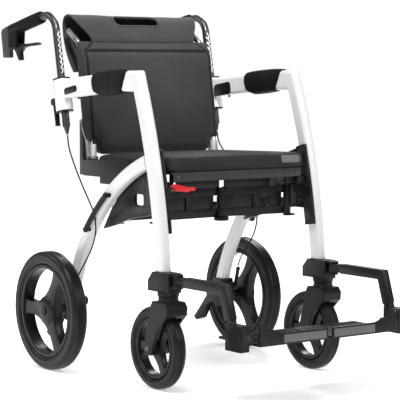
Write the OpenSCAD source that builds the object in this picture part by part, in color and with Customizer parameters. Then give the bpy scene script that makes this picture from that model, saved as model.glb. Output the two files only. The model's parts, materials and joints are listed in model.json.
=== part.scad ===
// Rollator transport chair: two white side frames that fold together on links under the seat.
// The front of the chair is at -Y, the floor is at z = 0, and x = 0 is the middle plane.

/* [Side frame] */
// Distance from the middle plane to each side frame
side_x = 244.5; // [236:0.5:256]
// Width of the white frame bars, across the chair
bar_w = 28; // [26:0.5:30]
// Corner radius of the frame bars
bar_corner = 9; // [5:0.5:12]
// Depth of the front post, along the chair
post_depth = 38; // [34:0.5:42]
// Depth of the rear leg
leg_depth = 35; // [31:0.5:39]
// Height of the armrest beam
beam_h = 52; // [48:0.5:56]
// Height of the front post's foot above the floor
post_foot_z = 292; // [289:0.5:296]
// Lean of the front post at its foot
post_foot_lean = 4.56; // [3:0.1:6]
// Lean of the front post at its head
post_head_lean = 19.72; // [18:0.1:21]
// Radius of the front post's curve
post_curve_r = 1686; // [1640:2:1730]
// Height of the flat head above the end of the front post's curve
head_rise = 54; // [51:0.5:57]
// Downward slope of the armrest towards the rear
arm_slope = 4.5; // [3:0.1:6]
// Radius of the rear leg's curve
leg_curve_r = 540.5; // [530:0.5:550]
// Height of the rear leg's white end above the rear axle
leg_end_up = 45; // [41:0.5:51]
// Angle of the rear leg's white end on its curve
leg_end_angle = 16.96; // [15:0.1:19]

/* [Wheels] */
// Radius of the rear wheels
rear_r = 155; // [150:0.5:158]
// Width of the rear tyres
rear_tyre_w = 42; // [36:0.5:46]
// Distance of the rear axle behind the chair's origin
rear_axle_y = 196; // [188:1:204]
// Distance from the side frame to the rear wheel's middle
rear_wheel_out = 71.5; // [66:0.5:78]
// Radius of the rear axle
rear_axle_r = 7; // [5:0.5:9]
// Radius of the caster wheels
caster_r = 102.5; // [96:0.5:104]
// Width of the caster tyres
caster_tyre_w = 34; // [28:0.5:38]
// Distance of the caster's swivel axis in front of the origin
swivel_front = 242; // [236:1:248]
// Distance of the caster's axle behind its swivel axis
caster_trail = 46; // [40:0.5:52]
// Radius of the caster's swivel stem
stem_r = 6; // [5:0.5:8]
// Radius of the caster's axle
caster_axle_r = 5; // [4:0.5:6]

/* [Handle] */
// Radius of the handle tube
handle_r = 10; // [9:0.25:11]
// Backward tilt of the handle tube
handle_tilt = 11; // [10:0.5:12]
// Bend radius of the handle tube
handle_bend_r = 50; // [46:1:54]
// Downward slope of the grip towards the rear
grip_drop = 11.5; // [10:0.5:13]
// Length of the straight handle tube below the reference point of the sleeve
handle_below = 135; // [128:1:142]
// Length of the straight handle tube above that point
handle_above = 124; // [118:1:130]
// Length of the grip along the tube
grip_len = 158; // [150:1:166]
// Radius of the grip
grip_r = 16.5; // [15:0.25:18]
// Length of the white sleeve that holds the handle
sleeve_len = 84; // [78:1:90]
// Width of the sleeve across the chair
sleeve_w = 38; // [34:0.5:42]
// Depth of the sleeve along the chair
sleeve_depth = 46; // [42:0.5:50]
// Height of the collars at the sleeve's ends
collar_h = 3.5; // [3:0.25:5]

/* [Seat] */
// Height of the seat board's lower face above the floor
board_z = 526; // [524:0.5:529]
// Thickness of the seat board
board_t = 6; // [4:0.5:8]
// Thickness of the seat cushion at its edge
cushion_t = 34; // [28:1:38]
// Rise of the cushion's crown
cushion_crown = 6; // [2:0.5:9]
// Fall of the cushion's top towards the rear
cushion_fall = 8; // [5:0.5:9]
// Front edge of the seat, in front of the origin
seat_front = 211; // [205:1:216]
// Rear edge of the seat, behind the origin
seat_rear = 138; // [128:1:142]
// Room between the seat's edge and the side brackets
seat_gap = 8.5; // [7:0.5:12]
// Height of the seat's hinge axis above the board's lower face
seat_hinge_up = 19; // [17:0.5:21]
// Distance of the seat's hinge axis from the left edge of the seat
seat_hinge_in = 32; // [29:0.5:36]

/* [Fold] */
// Distance of each link pivot from the middle plane
link_pivot_x = 205; // [201:0.5:207]
// Rearward offset of the middle hinge when the chair is open
link_sag = 12; // [8:0.5:16]
// Distance of the front link pivots in front of the origin
link_front = 140; // [132:1:146]
// Distance of the rear link pivots behind the origin
link_rear = 30; // [24:1:36]
// Radius of the link pins
link_pin_r = 4; // [3:0.25:5]

/* [Back] */
// Backward lean of the backrest
back_lean = 9; // [8:0.1:10]
// Front of the backrest at its lower edge, behind the origin
back_front = 160; // [157:0.5:163]
// Thickness of the padded back
back_t = 44; // [40:0.5:48]
// Radius of the back tubes
back_tube_r = 8; // [7:0.25:9]
// Distance of the back tubes from the middle plane
back_tube_x = 198; // [196:0.5:200]

/* [Footrest] */
// Front edge of the footplates, in front of the origin
foot_front = 562; // [556:1:568]
// Depth of the footplates
foot_depth = 160; // [140:1:166]
// Height of the footplates' lower face above the floor
foot_z = 148; // [142:0.5:156]
// Gap between the two footplates
foot_gap = 16; // [12:1:30]
// Height of the footrest arm's middle above the floor
foot_arm_z = 275; // [273:0.5:277]
// Height of the footrest arm
foot_arm_h = 20; // [18:0.5:22]
// Width of the footrest arm
foot_arm_w = 20; // [18:0.5:22]

/* [Fits] */
// Radial room between a pin and its bore
pin_gap = 0.3; // [0.2:0.05:0.5]
// Room between faces that slide past each other
face_gap = 0.4; // [0.3:0.05:0.8]
// Room between a soft piece and what it rests on
soft_gap = 0.3; // [0.2:0.05:0.5]

/* [Hidden] */

$fn = 48;
// Facets of the long frame curves
curve_fn = 720;
// Facets of small round sections
round_fn = 32;
// Overlap used where cutters run past a face
past = 1;
// Step between a bend and the straight stretch that runs into it
seam = 0.12;
// Length by which a straight stretch runs into a bend
seam_lap = 1.5;

// Inner and outer faces of the side frame bars, and the inner face of the bracket plates
bar_in = side_x - bar_w / 2;
bar_out = side_x + bar_w / 2;
bracket_t = 8;
bracket_in = bar_in - bracket_t;

// Front post: foot, curve centre, end of the curve and the point where the armrest starts
post_set_back = 21.3;
post_foot = [post_set_back - swivel_front, post_foot_z];
post_centre = post_foot + post_curve_r * [cos(post_foot_lean), -sin(post_foot_lean)];
post_head = post_centre + post_curve_r * [-cos(post_head_lean), sin(post_head_lean)];
post_dir = [sin(post_head_lean), cos(post_head_lean)];
head_top = post_head[1] + head_rise;
elbow_end = post_head + [45.9, 29.7];
arm_dir = [cos(arm_slope), -sin(arm_slope)];
post_stub = 50;
// Bar that runs through the armrest pad, and the round hollow that the pad ends in
core_h = 24;
core_w = 20;
core_corner = 4;
cup_centre = elbow_end + [124.5, -1.8];
cup_r = 36.6;

// Rear leg: the white end stands over the axle
leg_end_z = rear_r + leg_end_up;
leg_end = [rear_axle_y - 1.5, leg_end_z];
leg_centre = leg_end - leg_curve_r * [cos(leg_end_angle), sin(leg_end_angle)];
leg_top_angle = 80;

// Push handle: reference point on the sleeve's axis, on the armrest beam
sleeve_ref_along = 334.5;
sleeve_ref_up = 34;
sleeve_ref = elbow_end + sleeve_ref_along * arm_dir + [0, sleeve_ref_up];
sleeve_top = -8;
sleeve_bore_r = handle_r + 3;
clamp_y = sleeve_depth / 2 + 16;
clamp_z = sleeve_top - 0.64 * sleeve_len;
clamp_hub_r = 9;
clamp_half_w = 6;
clamp_ear_t = 5;
clamp_pin_r = 3;
function handle_point(along) = sleeve_ref + along * [sin(handle_tilt), cos(handle_tilt)];
bend_centre = handle_point(handle_above) + handle_bend_r * [cos(handle_tilt), -sin(handle_tilt)];
bend_end = bend_centre + handle_bend_r * [sin(grip_drop), cos(grip_drop)];
grip_dir = [cos(grip_drop), -sin(grip_drop)];
grip_start = bend_end + 18 * grip_dir;
grip_end = grip_start + grip_len * grip_dir;
grip_gap = 0.1;
hook_w = 26;
hook_rear = foot_front;
lever_pivot = grip_end + [-22, -44];
lever_hub_r = 8;
lever_half_w = 6;
lever_pin_r = 3;

// Wheels
rear_x = side_x + rear_wheel_out;
rear_axle = [rear_axle_y, rear_r];
rear_rim_r = rear_r - 33;
rear_hub_r = 18;
rear_hub_w = rear_tyre_w - 8;
swivel_y = -swivel_front;
caster_axle = [swivel_y + caster_trail, caster_r];
caster_rim_r = caster_r - 26;
fork_slot = caster_tyre_w + 8;
fork_blade_t = 12;
fork_w = fork_slot + 2 * fork_blade_t;
fork_top = 222;
foot_block_z = 240;
neck_r = 25;

// Axle housing at the end of the rear leg
housing_half_w = bar_w / 2 + 4;
housing_out = side_x + housing_half_w;
nut_r = 12;
brake_pivot = rear_axle + [-31, 23];
brake_arm_end = brake_pivot + [-13, 50];
brake_arm_t = 6;
brake_shaft_r = 4;

// Seat
seat_half_w = bracket_in - seat_gap;
seat_hinge = [seat_half_w - seat_hinge_in, board_z + seat_hinge_up];
seat_hinge_r = 8;
seat_pin_r = 4;
ear_half_w = 6;
knuckle_w = 9;
ear_ys = [-170, 100];
ear_slot = ear_half_w + face_gap + knuckle_w + face_gap;
cross_rail_h = 19;
cross_rail_w = 18;
cross_rail_ys = [-197, 66];
cross_rail_end = 204;
cushion_z = board_z + board_t + soft_gap;
rail_top = board_z - cross_rail_h - soft_gap;
rail_h = 18;
rail_in = bracket_in - 26.5;

// Folding links
link_len = norm([link_pivot_x, link_sag]);
link_angle = atan2(link_sag, link_pivot_x);
link_offset = 5;
link_t = 10;
link_barrel_r = 10;
front_levels = [[407, 427], [462, 482]];
rear_levels = [[394, 406], [418, 430]];
lug_t = 5;

// Backrest
back_low = 573;
function back_y(z) = back_front + (z - back_low) * tan(back_lean);
back_tube_in = 30;
bracket_top_z = 648;
rail_plate_in = bracket_in - 6;
back_foot_in = back_tube_x - 15;
back_foot_front = back_y(rail_top) + 16;
back_foot_rear = back_y(rail_top) + 56;
back_foot_top = 545;
back_post_front = back_y(bracket_top_z) + back_t + 1;
back_post_rear = back_post_front + 17;
tube_bend_z = 832;
tube_bend_r = 42;
tube_tip = 46;
tube_turn = 48;
tab_r = 5;
tab_pivot = [back_foot_front + 6, back_foot_top + tab_r + 1];
tab_pin_r = 2;

// Footrest
foot_pivot_y = swivel_y - 42;
foot_pin_r = 5;
foot_knuckle_r = 12.5;
foot_knee_y = 62 - foot_front + 28;
hanger_lean = 18;
foot_hinge_z = foot_z + 15;
foot_block_w = 26;
foot_hinge_x = side_x - foot_block_w / 2 - 9;
foot_block_front = 14 - foot_front;
foot_block_rear = foot_block_front + 58;
foot_plate_t = 6;
foot_knuckle_half = 18.5;
foot_hinge_y = (foot_block_front + foot_block_rear) / 2;

// Route of the left brake cable, from the handle's foot to the brake arm
cable_r = 2;
cable_out = bar_out + cable_r + soft_gap;
cable_top = handle_point(-handle_below - 21.5);
cable_route = [
    [side_x, cable_top[0], cable_top[1]], [side_x + 1, 214, 580], [250, 190, 550], [256, 158, 518],
    [260, 125, 484], [cable_out, 95, 450], [cable_out, 72, 422], [cable_out, 62, 398], [cable_out, 60, 372],
    [cable_out, 68, 345], [cable_out, 84, 318], [cable_out, 106, 292], [cable_out, 128, 268],
    [cable_out + 2, 143, 248],
    [housing_out + face_gap + brake_arm_t / 2, brake_arm_end[0], brake_arm_end[1] + 9]];

// Rectangle with round corners, centred
module round_rect(a, b, r) {
    square([a - 2 * r, b], center = true);
    square([a, b - 2 * r], center = true);
    for (i = [-1, 1], j = [-1, 1])
        translate([i * (a / 2 - r), j * (b / 2 - r)]) circle(r, $fn = round_fn);
}

// Drawing plane of a side view: x along the chair, y up, extruded across the chair from x0
module side_view(x0, w) {
    translate([x0, 0, 0]) rotate([90, 0, 90]) linear_extrude(w) children();
}

// Bar of a round-cornered section along a circle in a side view
module arc_bar(x, centre, r, from, to, depth, width) {
    translate([x, centre[0], centre[1]]) rotate([90, 0, 90]) rotate([0, 0, from])
        rotate_extrude(angle = to - from, $fn = curve_fn)
            translate([r, 0]) round_rect(depth, width, bar_corner);
}

// Straight bar of a round-cornered section between two points of a side view
module straight_bar(x, p, q, depth, width, corner) {
    d = q - p;
    translate([x, p[0], p[1]]) rotate([-atan2(d[0], d[1]), 0, 0])
        linear_extrude(norm(d)) round_rect(width, depth, corner);
}

// Round rod between two points of a side view
module straight_rod(x, p, q, r) {
    d = q - p;
    translate([x, p[0], p[1]]) rotate([-atan2(d[0], d[1]), 0, 0]) cylinder(r = r, h = norm(d));
}

// Cylinder across the chair at a point of a side view
module cross_pin(x0, x1, p, r) {
    translate([x0, p[0], p[1]]) rotate([0, 90, 0]) cylinder(r = r, h = x1 - x0);
}

// Cylinder along the chair at a point of the front view
module along_pin(y0, y1, x, z, r) {
    translate([x, y1, z]) rotate([90, 0, 0]) cylinder(r = r, h = y1 - y0);
}

// Block between two corners
module block(low, high) {
    translate(low) cube(high - low);
}

// The right side is the left side mirrored
module on_right() {
    mirror([1, 0, 0]) children();
}

// Closed form through rings of points, with a middle point closing each end
module loft(rings) {
    n = len(rings[0]);
    m = len(rings);
    first = [for (k = [0 : 2]) let (s = [for (p = rings[0]) p[k]]) s * [for (p = rings[0]) 1] / n];
    last = [for (k = [0 : 2]) let (s = [for (p = rings[m - 1]) p[k]]) s * [for (p = rings[0]) 1] / n];
    points = concat([for (ring = rings) each ring], [first, last]);
    sides = [for (j = [0 : m - 2], i = [0 : n - 1])
        let (a = j * n + i, b = j * n + (i + 1) % n, c = a + n, d = b + n)
            each [[a, d, b], [a, c, d]]];
    ends = [for (i = [0 : n - 1])
        each [[m * n, i, (i + 1) % n], [m * n + 1, (m - 1) * n + (i + 1) % n, (m - 1) * n + i]]];
    polyhedron(points = points, faces = concat(sides, ends), convexity = 6);
}

// Closed form through rings of points, whose two ends are closed by the given triangles
module capped_loft(rings, cap) {
    n = len(rings[0]);
    m = len(rings);
    sides = [for (j = [0 : m - 2], i = [0 : n - 1])
        let (a = j * n + i, b = j * n + (i + 1) % n, c = a + n, d = b + n)
            each [[a, d, b], [a, c, d]]];
    far = (m - 1) * n;
    ends = [for (t = cap) each [t, [far + t[2], far + t[1], far + t[0]]]];
    polyhedron(points = [for (ring = rings) each ring], faces = concat(sides, ends), convexity = 6);
}

// Tube of eight sides along a route of points
module route_tube(route, r) {
    n = len(route);
    function unit(v) = v / norm(v);
    function heading(i) = unit(route[min(i + 1, n - 1)] - route[max(i - 1, 0)]);
    rings = [for (i = [0 : n - 1])
        let (t = heading(i), u = unit(cross(t, [1, 0, 0])), v = cross(t, u))
            [for (k = [0 : 7]) route[i] + r * (cos(45 * k) * u + sin(45 * k) * v)]];
    loft(rings);
}

// White front post with its flat head and the bar that runs on through the armrest pad
module front_post() {
    head_low = post_head[1] + 1.2;
    tongue_top = head_top - seam;
    tongue_mid = (tongue_top + head_low) / 2;
    color("white") {
        difference() {
            union() {
                arc_bar(side_x, post_centre, post_curve_r, 180 - post_head_lean,
                    182 - post_foot_lean, post_depth, bar_w);
                intersection() {
                    straight_bar(side_x, post_head - seam_lap * post_dir, post_head + 80 * post_dir,
                        post_depth - 2 * seam, bar_w - 2 * seam, bar_corner);
                    straight_bar(side_x, [post_head[0] - 60, head_top - 75],
                        [post_head[0] + 90, head_top - 75],
                        150, bar_w, bar_corner);
                }
                straight_bar(side_x, [post_head[0] + 9, tongue_mid], [post_head[0] + 87, tongue_mid],
                    tongue_top - head_low, bar_w - 4 * seam, bar_corner);
            }
            block([bar_in - past, post_foot[0] - 100, 0],
                [bar_out + past, post_foot[0] + 100, post_foot_z]);
            side_view(bar_in - past, bar_w + 2 * past) polygon([post_head + [38.9, 77], post_head + [140, 77],
                post_head + [140, -23.2], post_head + [84.3, -23.2]]);
        }
        straight_bar(side_x, elbow_end - 20 * arm_dir, elbow_end + post_stub * arm_dir,
            core_h, core_w, core_corner);
    }
}
module front_post_r() { on_right() front_post(); }
module front_post_l() { front_post(); }

// Local frame of the handle sleeve: z along the tube, y to the rear
module at_sleeve() {
    translate([side_x, sleeve_ref[0], sleeve_ref[1]]) rotate([-handle_tilt, 0, 0]) children();
}

// White armrest beam: the bar inside the pad, the cup behind it and the sleeve that guides the push handle
module armrest_beam() {
    beam_start = elbow_end + 128 * arm_dir;
    beam_end = elbow_end + (sleeve_ref_along - 12) * arm_dir;
    color("white") {
        difference() {
            union() {
                straight_bar(side_x, beam_start, beam_end, beam_h, bar_w, bar_corner);
                at_sleeve() sleeve_form();
            }
            cross_pin(bar_in - past, bar_out + past, cup_centre, cup_r);
            at_sleeve() translate([0, 0, sleeve_top - sleeve_len - past])
                cylinder(r = sleeve_bore_r, h = sleeve_len + 2 * past + 25);
        }
        straight_bar(side_x, elbow_end + post_stub * arm_dir, elbow_end + 180 * arm_dir,
            core_h, core_w, core_corner);
    }
}
// Outer form of the sleeve
module sleeve_form() {
    translate([0, 0, sleeve_top - sleeve_len])
        linear_extrude(sleeve_len) round_rect(sleeve_w, sleeve_depth, 14);
}
module armrest_beam_r() { on_right() armrest_beam(); }
module armrest_beam_l() { armrest_beam(); }

// Black collars that line the sleeve's two ends, and the ears of the clamp lever on its rear
module handle_collars() {
    liner = 20;
    color("black") at_sleeve() {
        for (end = [0, 1]) {
            face = end == 0 ? sleeve_top : sleeve_top - sleeve_len;
            dir = end == 0 ? 1 : -1;
            difference() {
                union() {
                    translate([0, 0, dir > 0 ? face : face - collar_h])
                        linear_extrude(collar_h) round_rect(sleeve_w, sleeve_depth, 14);
                    translate([0, 0, dir > 0 ? face - liner : face - past])
                        cylinder(r = sleeve_bore_r, h = liner + past);
                }
                translate([0, 0, face - 2 * liner]) cylinder(r = handle_r + pin_gap, h = 4 * liner);
            }
        }
        difference() {
            union() {
                translate([-clamp_half_w - face_gap - clamp_ear_t, 0, clamp_z - clamp_hub_r])
                    cube([2 * (clamp_half_w + face_gap + clamp_ear_t), clamp_y - clamp_hub_r - 5,
                        2 * clamp_hub_r]);
                for (side = [-1, 1]) {
                    ear_x = side * (clamp_half_w + face_gap + clamp_ear_t / 2);
                    translate([ear_x - clamp_ear_t / 2, 0, clamp_z - clamp_hub_r])
                        cube([clamp_ear_t, clamp_y, 2 * clamp_hub_r]);
                    translate([ear_x - clamp_ear_t / 2, clamp_y, clamp_z])
                        rotate([0, 90, 0]) cylinder(r = clamp_hub_r, h = clamp_ear_t);
                }
            }
            sleeve_form();
            translate([-sleeve_w, clamp_y, clamp_z]) rotate([0, 90, 0])
                cylinder(r = clamp_pin_r + pin_gap, h = 2 * sleeve_w);
        }
    }
}
module handle_collars_r() { on_right() handle_collars(); }
module handle_collars_l() { handle_collars(); }

// Black lever that clamps the handle at its height
module clamp_lever() {
    color("black") at_sleeve() {
        translate([-clamp_half_w, 0, 0]) rotate([90, 0, 90]) linear_extrude(2 * clamp_half_w)
            translate([clamp_y, clamp_z]) {
                circle(clamp_hub_r);
                polygon([[-9, -9], [-4, 10], [9, 4], [8, -10]]);
                polygon([[-1, -6], [7.5, -6], [6, -58], [1, -58]]);
                translate([3.5, -60]) circle(4);
            }
        translate([-clamp_half_w - face_gap - clamp_ear_t, clamp_y, clamp_z]) rotate([0, 90, 0])
            cylinder(r = clamp_pin_r, h = 2 * (clamp_half_w + face_gap + clamp_ear_t));
    }
}
module clamp_lever_r() { on_right() clamp_lever(); }
module clamp_lever_l() { clamp_lever(); }

// White rear leg, from the post down to the axle housing
module rear_leg() {
    color("white") intersection() {
        difference() {
            arc_bar(side_x, leg_centre, leg_curve_r, leg_end_angle - 4, leg_top_angle, leg_depth, bar_w);
            block([bar_in - past, leg_end[0] - 100, 0], [bar_out + past, leg_end[0] + 100, leg_end_z]);
        }
        translate([bar_in - past, post_centre[0], post_centre[1]]) rotate([0, 90, 0])
            cylinder(r = post_curve_r - post_depth / 2, h = bar_w + 2 * past, $fn = 2 * curve_fn);
    }
}
module rear_leg_r() { on_right() rear_leg(); }
module rear_leg_l() { rear_leg(); }

// Black foam sleeve of the armrest: swells in the middle, slants against the post's head, ends in the cup
module armrest_pad() {
    pad_start = 16;
    pad_len = 146;
    pad_half = [22, 32];
    face_slant = 0.53;
    // Share of the length and of the size at each ring
    stations = [[0, 0.84], [0.05, 0.94], [0.2, 0.99], [0.45, 1], [0.75, 0.99], [0.92, 0.94], [1, 0.82]];
    up = [sin(arm_slope), cos(arm_slope)];
    end_r = cup_r - 1;
    function round_power(v, p) = sign(v) * pow(abs(v), p);
    function cup_y(z) = cup_centre[0] + sqrt(max(0, end_r * end_r - pow(z - cup_centre[1], 2)));
    rings = [for (s = stations)
        let (c = elbow_end + (pad_start + s[0] * pad_len) * arm_dir)
            [for (k = [0 : 31])
                let (a = k * 360 / 32, w = s[1] * pad_half[0] * round_power(cos(a), 0.55),
                    h = s[1] * pad_half[1] * round_power(sin(a), 0.55),
                    slant = face_slant * h * max(0, 1 - 2 * s[0]), z = c[1] + h * up[1],
                    room = (1 - s[0]) * 10)
                    [side_x + w, min(c[0] + h * up[0] - slant, cup_y(z) - room), z]]];
    color("black") difference() {
        loft(rings);
        straight_bar(side_x, elbow_end - 10 * arm_dir, elbow_end + 220 * arm_dir,
            core_h + 2 * soft_gap, core_w + 2 * soft_gap, core_corner);
    }
}
module armrest_pad_r() { on_right() armrest_pad(); }
module armrest_pad_l() { armrest_pad(); }

// Lug pair and pin that hold one end of a link pair
module link_lugs(y, low, high) {
    for (z = [low - face_gap - lug_t, high + face_gap]) {
        block([link_pivot_x, y - link_barrel_r, z], [bracket_in + past, y + link_barrel_r, z + lug_t]);
        translate([link_pivot_x, y, z]) cylinder(r = link_barrel_r, h = lug_t);
    }
    translate([link_pivot_x, y, low - face_gap - lug_t])
        cylinder(r = link_pin_r, h = high - low + 2 * (face_gap + lug_t));
}

// Curved guide that holds the brake cable on the outside of the leg
module cable_guide() {
    rod_r = 7;
    rod_x = bar_out + 2 * (cable_r + soft_gap) + rod_r;
    rod_curve_r = leg_curve_r - 9.5;
    guide_from = 38.5;
    guide_to = 53;
    function guide_end(a) = leg_centre + rod_curve_r * [cos(a), sin(a)];
    translate([rod_x, leg_centre[0], leg_centre[1]]) rotate([90, 0, 90]) rotate([0, 0, guide_from])
        rotate_extrude(angle = guide_to - guide_from, $fn = curve_fn)
            translate([rod_curve_r, 0]) circle(rod_r, $fn = round_fn);
    for (a = [guide_from, guide_to]) {
        translate([rod_x, guide_end(a)[0], guide_end(a)[1]]) sphere(rod_r + 1);
        cross_pin(bar_out, rod_x, guide_end(a), rod_r - 1);
    }
}

// Black bracket inside the side frame: a strip down the post, a web to the leg and the link lugs
module side_bracket() {
    strip_w = 34;
    strip_low = 382;
    strip_high = 586;
    function post_angle(z) = 180 - asin((z - post_centre[1]) / post_curve_r);
    color("dimgray") {
        difference() {
            union() {
                arc_strip(post_angle(strip_high), post_angle(strip_low), strip_w);
                side_view(bracket_in, bracket_t) polygon([[-190, 584], [-182, 586], [-118, 566], [-70, 530],
                    [-10, 472], [32, 428], [72, 374], [10, 389], [-50, 408], [-149, 424], [-200, 424]]);
            }
            side_view(bracket_in - past, bracket_t + 2 * past)
                translate([-94, 459]) round_rect(40, 28, 6);
        }
        link_lugs(-link_front, front_levels[0][0], front_levels[1][1]);
        link_lugs(link_rear, rear_levels[0][0], rear_levels[1][1]);
        cable_guide();
    }
}
// Flat strip against the inner side of the front post
module arc_strip(from, to, w) {
    translate([bracket_in, post_centre[0], post_centre[1]]) rotate([90, 0, 90]) rotate([0, 0, from])
        rotate_extrude(angle = to - from, $fn = curve_fn)
            translate([post_curve_r - w / 2, 0]) square([w, bracket_t]);
}

// Ears on the right bracket for the red latch
latch_pivot = [bracket_in - 12, rail_top - 17];
latch_y = -207;
latch_half_w = 3;
latch_hub_r = 6;
latch_pin_r = 2.5;
latch_ear_t = 3;
module latch_ears() {
    color("dimgray") for (side = [-1, 1]) {
        y0 = latch_y + side * (latch_half_w + face_gap + latch_ear_t / 2) - latch_ear_t / 2;
        difference() {
            union() {
                block([latch_pivot[0], y0, latch_pivot[1] - latch_hub_r],
                    [bracket_in + past, y0 + latch_ear_t, latch_pivot[1] + latch_hub_r]);
                along_pin(y0, y0 + latch_ear_t, latch_pivot[0], latch_pivot[1], latch_hub_r);
            }
            along_pin(y0 - past, y0 + latch_ear_t + past, latch_pivot[0], latch_pivot[1],
                latch_pin_r + pin_gap);
        }
    }
}
module side_bracket_r() {
    on_right() {
        side_bracket();
        latch_ears();
    }
}
module side_bracket_l() { side_bracket(); }

// Red lever that frees the fold
module fold_latch() {
    lever_reach = 62;
    color("red") on_right() {
        along_pin(latch_y - latch_half_w, latch_y + latch_half_w, latch_pivot[0], latch_pivot[1],
            latch_hub_r);
        along_pin(latch_y - latch_half_w - face_gap - latch_ear_t,
            latch_y + latch_half_w + face_gap + latch_ear_t, latch_pivot[0], latch_pivot[1], latch_pin_r);
        block([latch_pivot[0] - lever_reach, latch_y - latch_half_w, latch_pivot[1] - 4],
            [latch_pivot[0], latch_y + latch_half_w, latch_pivot[1] + 4]);
        translate([latch_pivot[0] - lever_reach, latch_y, latch_pivot[1] - 4]) cylinder(r = 8, h = 8);
    }
}

// Seat rail along the bracket, which the seat rests on
module seat_rail(rear) {
    color("black") block([rail_in, -195, rail_top - rail_h], [bracket_in, rear, rail_top]);
}
// Side plate of the right rail, beside the cushion: the back bracket is fixed to its end
module rail_plate() {
    color("black") side_view(rail_plate_in, bracket_in - rail_plate_in) polygon([[-60, rail_top - past],
        [back_foot_front + 14, rail_top - past], [back_foot_front + 14, 546], [0, 556], [-30, 552],
        [-60, rail_top + 8]]);
}
// Hinge ears of the seat, on the left rail
module seat_ears() {
    color("black") for (y = ear_ys) difference() {
        union() {
            block([seat_hinge[0] - seat_hinge_r, y - ear_half_w, rail_top - rail_h],
                [rail_in + past, y + ear_half_w, rail_top]);
            block([seat_hinge[0] - seat_hinge_r, y - ear_half_w, rail_top - rail_h],
                [seat_hinge[0] + seat_hinge_r, y + ear_half_w, seat_hinge[1]]);
            along_pin(y - ear_half_w, y + ear_half_w, seat_hinge[0], seat_hinge[1], seat_hinge_r);
        }
        along_pin(y - ear_half_w - past, y + ear_half_w + past, seat_hinge[0], seat_hinge[1],
            seat_pin_r + pin_gap);
    }
}
module seat_rail_r() {
    on_right() {
        seat_rail(100);
        rail_plate();
    }
}
module seat_rail_l() {
    seat_rail(back_foot_rear);
    seat_ears();
}

// Seat board with its cross rails and the knuckles and pins of its hinge
module seat_board() {
    board_edge = 6;
    board_left = seat_hinge[0] + 18;
    color("gray") {
        difference() {
            union() {
                block([board_edge - seat_half_w, board_edge - seat_front, board_z],
                    [board_left, seat_rear - board_edge, board_z + board_t]);
                for (y = cross_rail_ys)
                    block([-cross_rail_end, y - cross_rail_w / 2, board_z - cross_rail_h],
                        [seat_hinge[0] - seat_hinge_r - 2, y + cross_rail_w / 2, board_z + past]);
            }
            for (y = ear_ys)
                block([seat_hinge[0] - seat_hinge_r - 2, y - ear_half_w - face_gap, board_z - 50],
                    [seat_half_w, y + ear_half_w + face_gap, board_z + 50]);
        }
        for (y = ear_ys) {
            for (side = [-1, 1]) {
                near = y + side * (ear_half_w + face_gap);
                far = near + side * knuckle_w;
                block([seat_hinge[0] - seat_hinge_r, min(near, far), board_z],
                    [seat_hinge[0] + seat_hinge_r, max(near, far), seat_hinge[1]]);
                along_pin(min(near, far), max(near, far), seat_hinge[0], seat_hinge[1], seat_hinge_r);
            }
            along_pin(y - ear_slot, y + ear_slot, seat_hinge[0], seat_hinge[1], seat_pin_r);
        }
    }
}

// Padded seat: crowned top that falls to the rear, sides drawn in between the corners
module seat_cushion() {
    draw_in = 0.012;
    depth = seat_front + seat_rear;
    mid_y = (seat_rear - seat_front) / 2;
    // Share of the outline and height of each ring
    stations = [[0.6, 0], [0.98, 0], [1, 0.25 * cushion_t], [1, 0.8 * cushion_t], [0.985, 0.96 * cushion_t],
        [0.95, cushion_t + 0.15 * cushion_crown], [0.7, cushion_t + 0.7 * cushion_crown],
        [0.35, cushion_t + 0.95 * cushion_crown]];
    function round_power(v, p) = sign(v) * pow(abs(v), p);
    rings = [for (s = stations)
        [for (k = [0 : 63])
            let (a = -k * 360 / 64, u = round_power(cos(a), 0.13), v = round_power(sin(a), 0.13),
                x = s[0] * seat_half_w * u * (1 - draw_in * (1 - v * v)),
                y = mid_y + s[0] * depth / 2 * v * (1 - draw_in * (1 - u * u)))
                [x, y, cushion_z + s[1]
                    - cushion_fall * min(1, s[1] / cushion_t) * (y + seat_front) / depth]]];
    color("black") difference() {
        loft(rings);
        for (y = ear_ys)
            block([seat_hinge[0] - seat_hinge_r - 2, y - ear_slot - face_gap, 0],
                [seat_half_w + past, y + ear_slot + face_gap, seat_hinge[1] + seat_hinge_r + 3]);
    }
}

// Foot block under the post: holds the caster stem and the footrest hinge
module post_foot() {
    block_w = bar_w + 10;
    knuckle_low = foot_arm_z - foot_arm_h / 2 - face_gap;
    knuckle_high = foot_arm_z + foot_arm_h / 2 + face_gap;
    lug_low_t = 8;
    lug_high_t = 6;
    color("black") difference() {
        union() {
            side_view(side_x - block_w / 2, block_w) polygon([[swivel_y - 28, foot_block_z + 4],
                [swivel_y - 28, post_foot_z], [swivel_y + 42, post_foot_z], [swivel_y + 62, post_foot_z - 22],
                [swivel_y + 62, foot_block_z + 4]]);
            translate([side_x, swivel_y, foot_block_z - 4]) cylinder(r = neck_r + 2, h = 10);
            for (lug = [[knuckle_low - lug_low_t, lug_low_t], [knuckle_high, lug_high_t]]) {
                block([side_x - foot_knuckle_r, foot_pivot_y, lug[0]],
                    [side_x + foot_knuckle_r, swivel_y - 28 + past, lug[0] + lug[1]]);
                translate([side_x, foot_pivot_y, lug[0]]) cylinder(r = foot_knuckle_r, h = lug[1]);
            }
            translate([side_x, foot_pivot_y, knuckle_low - lug_low_t])
                cylinder(r = foot_pin_r, h = knuckle_high - knuckle_low + lug_low_t + lug_high_t);
        }
        translate([side_x, swivel_y, 0]) cylinder(r = stem_r + pin_gap, h = post_foot_z - 6);
    }
}
module post_foot_r() { on_right() post_foot(); }
module post_foot_l() { post_foot(); }

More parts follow.
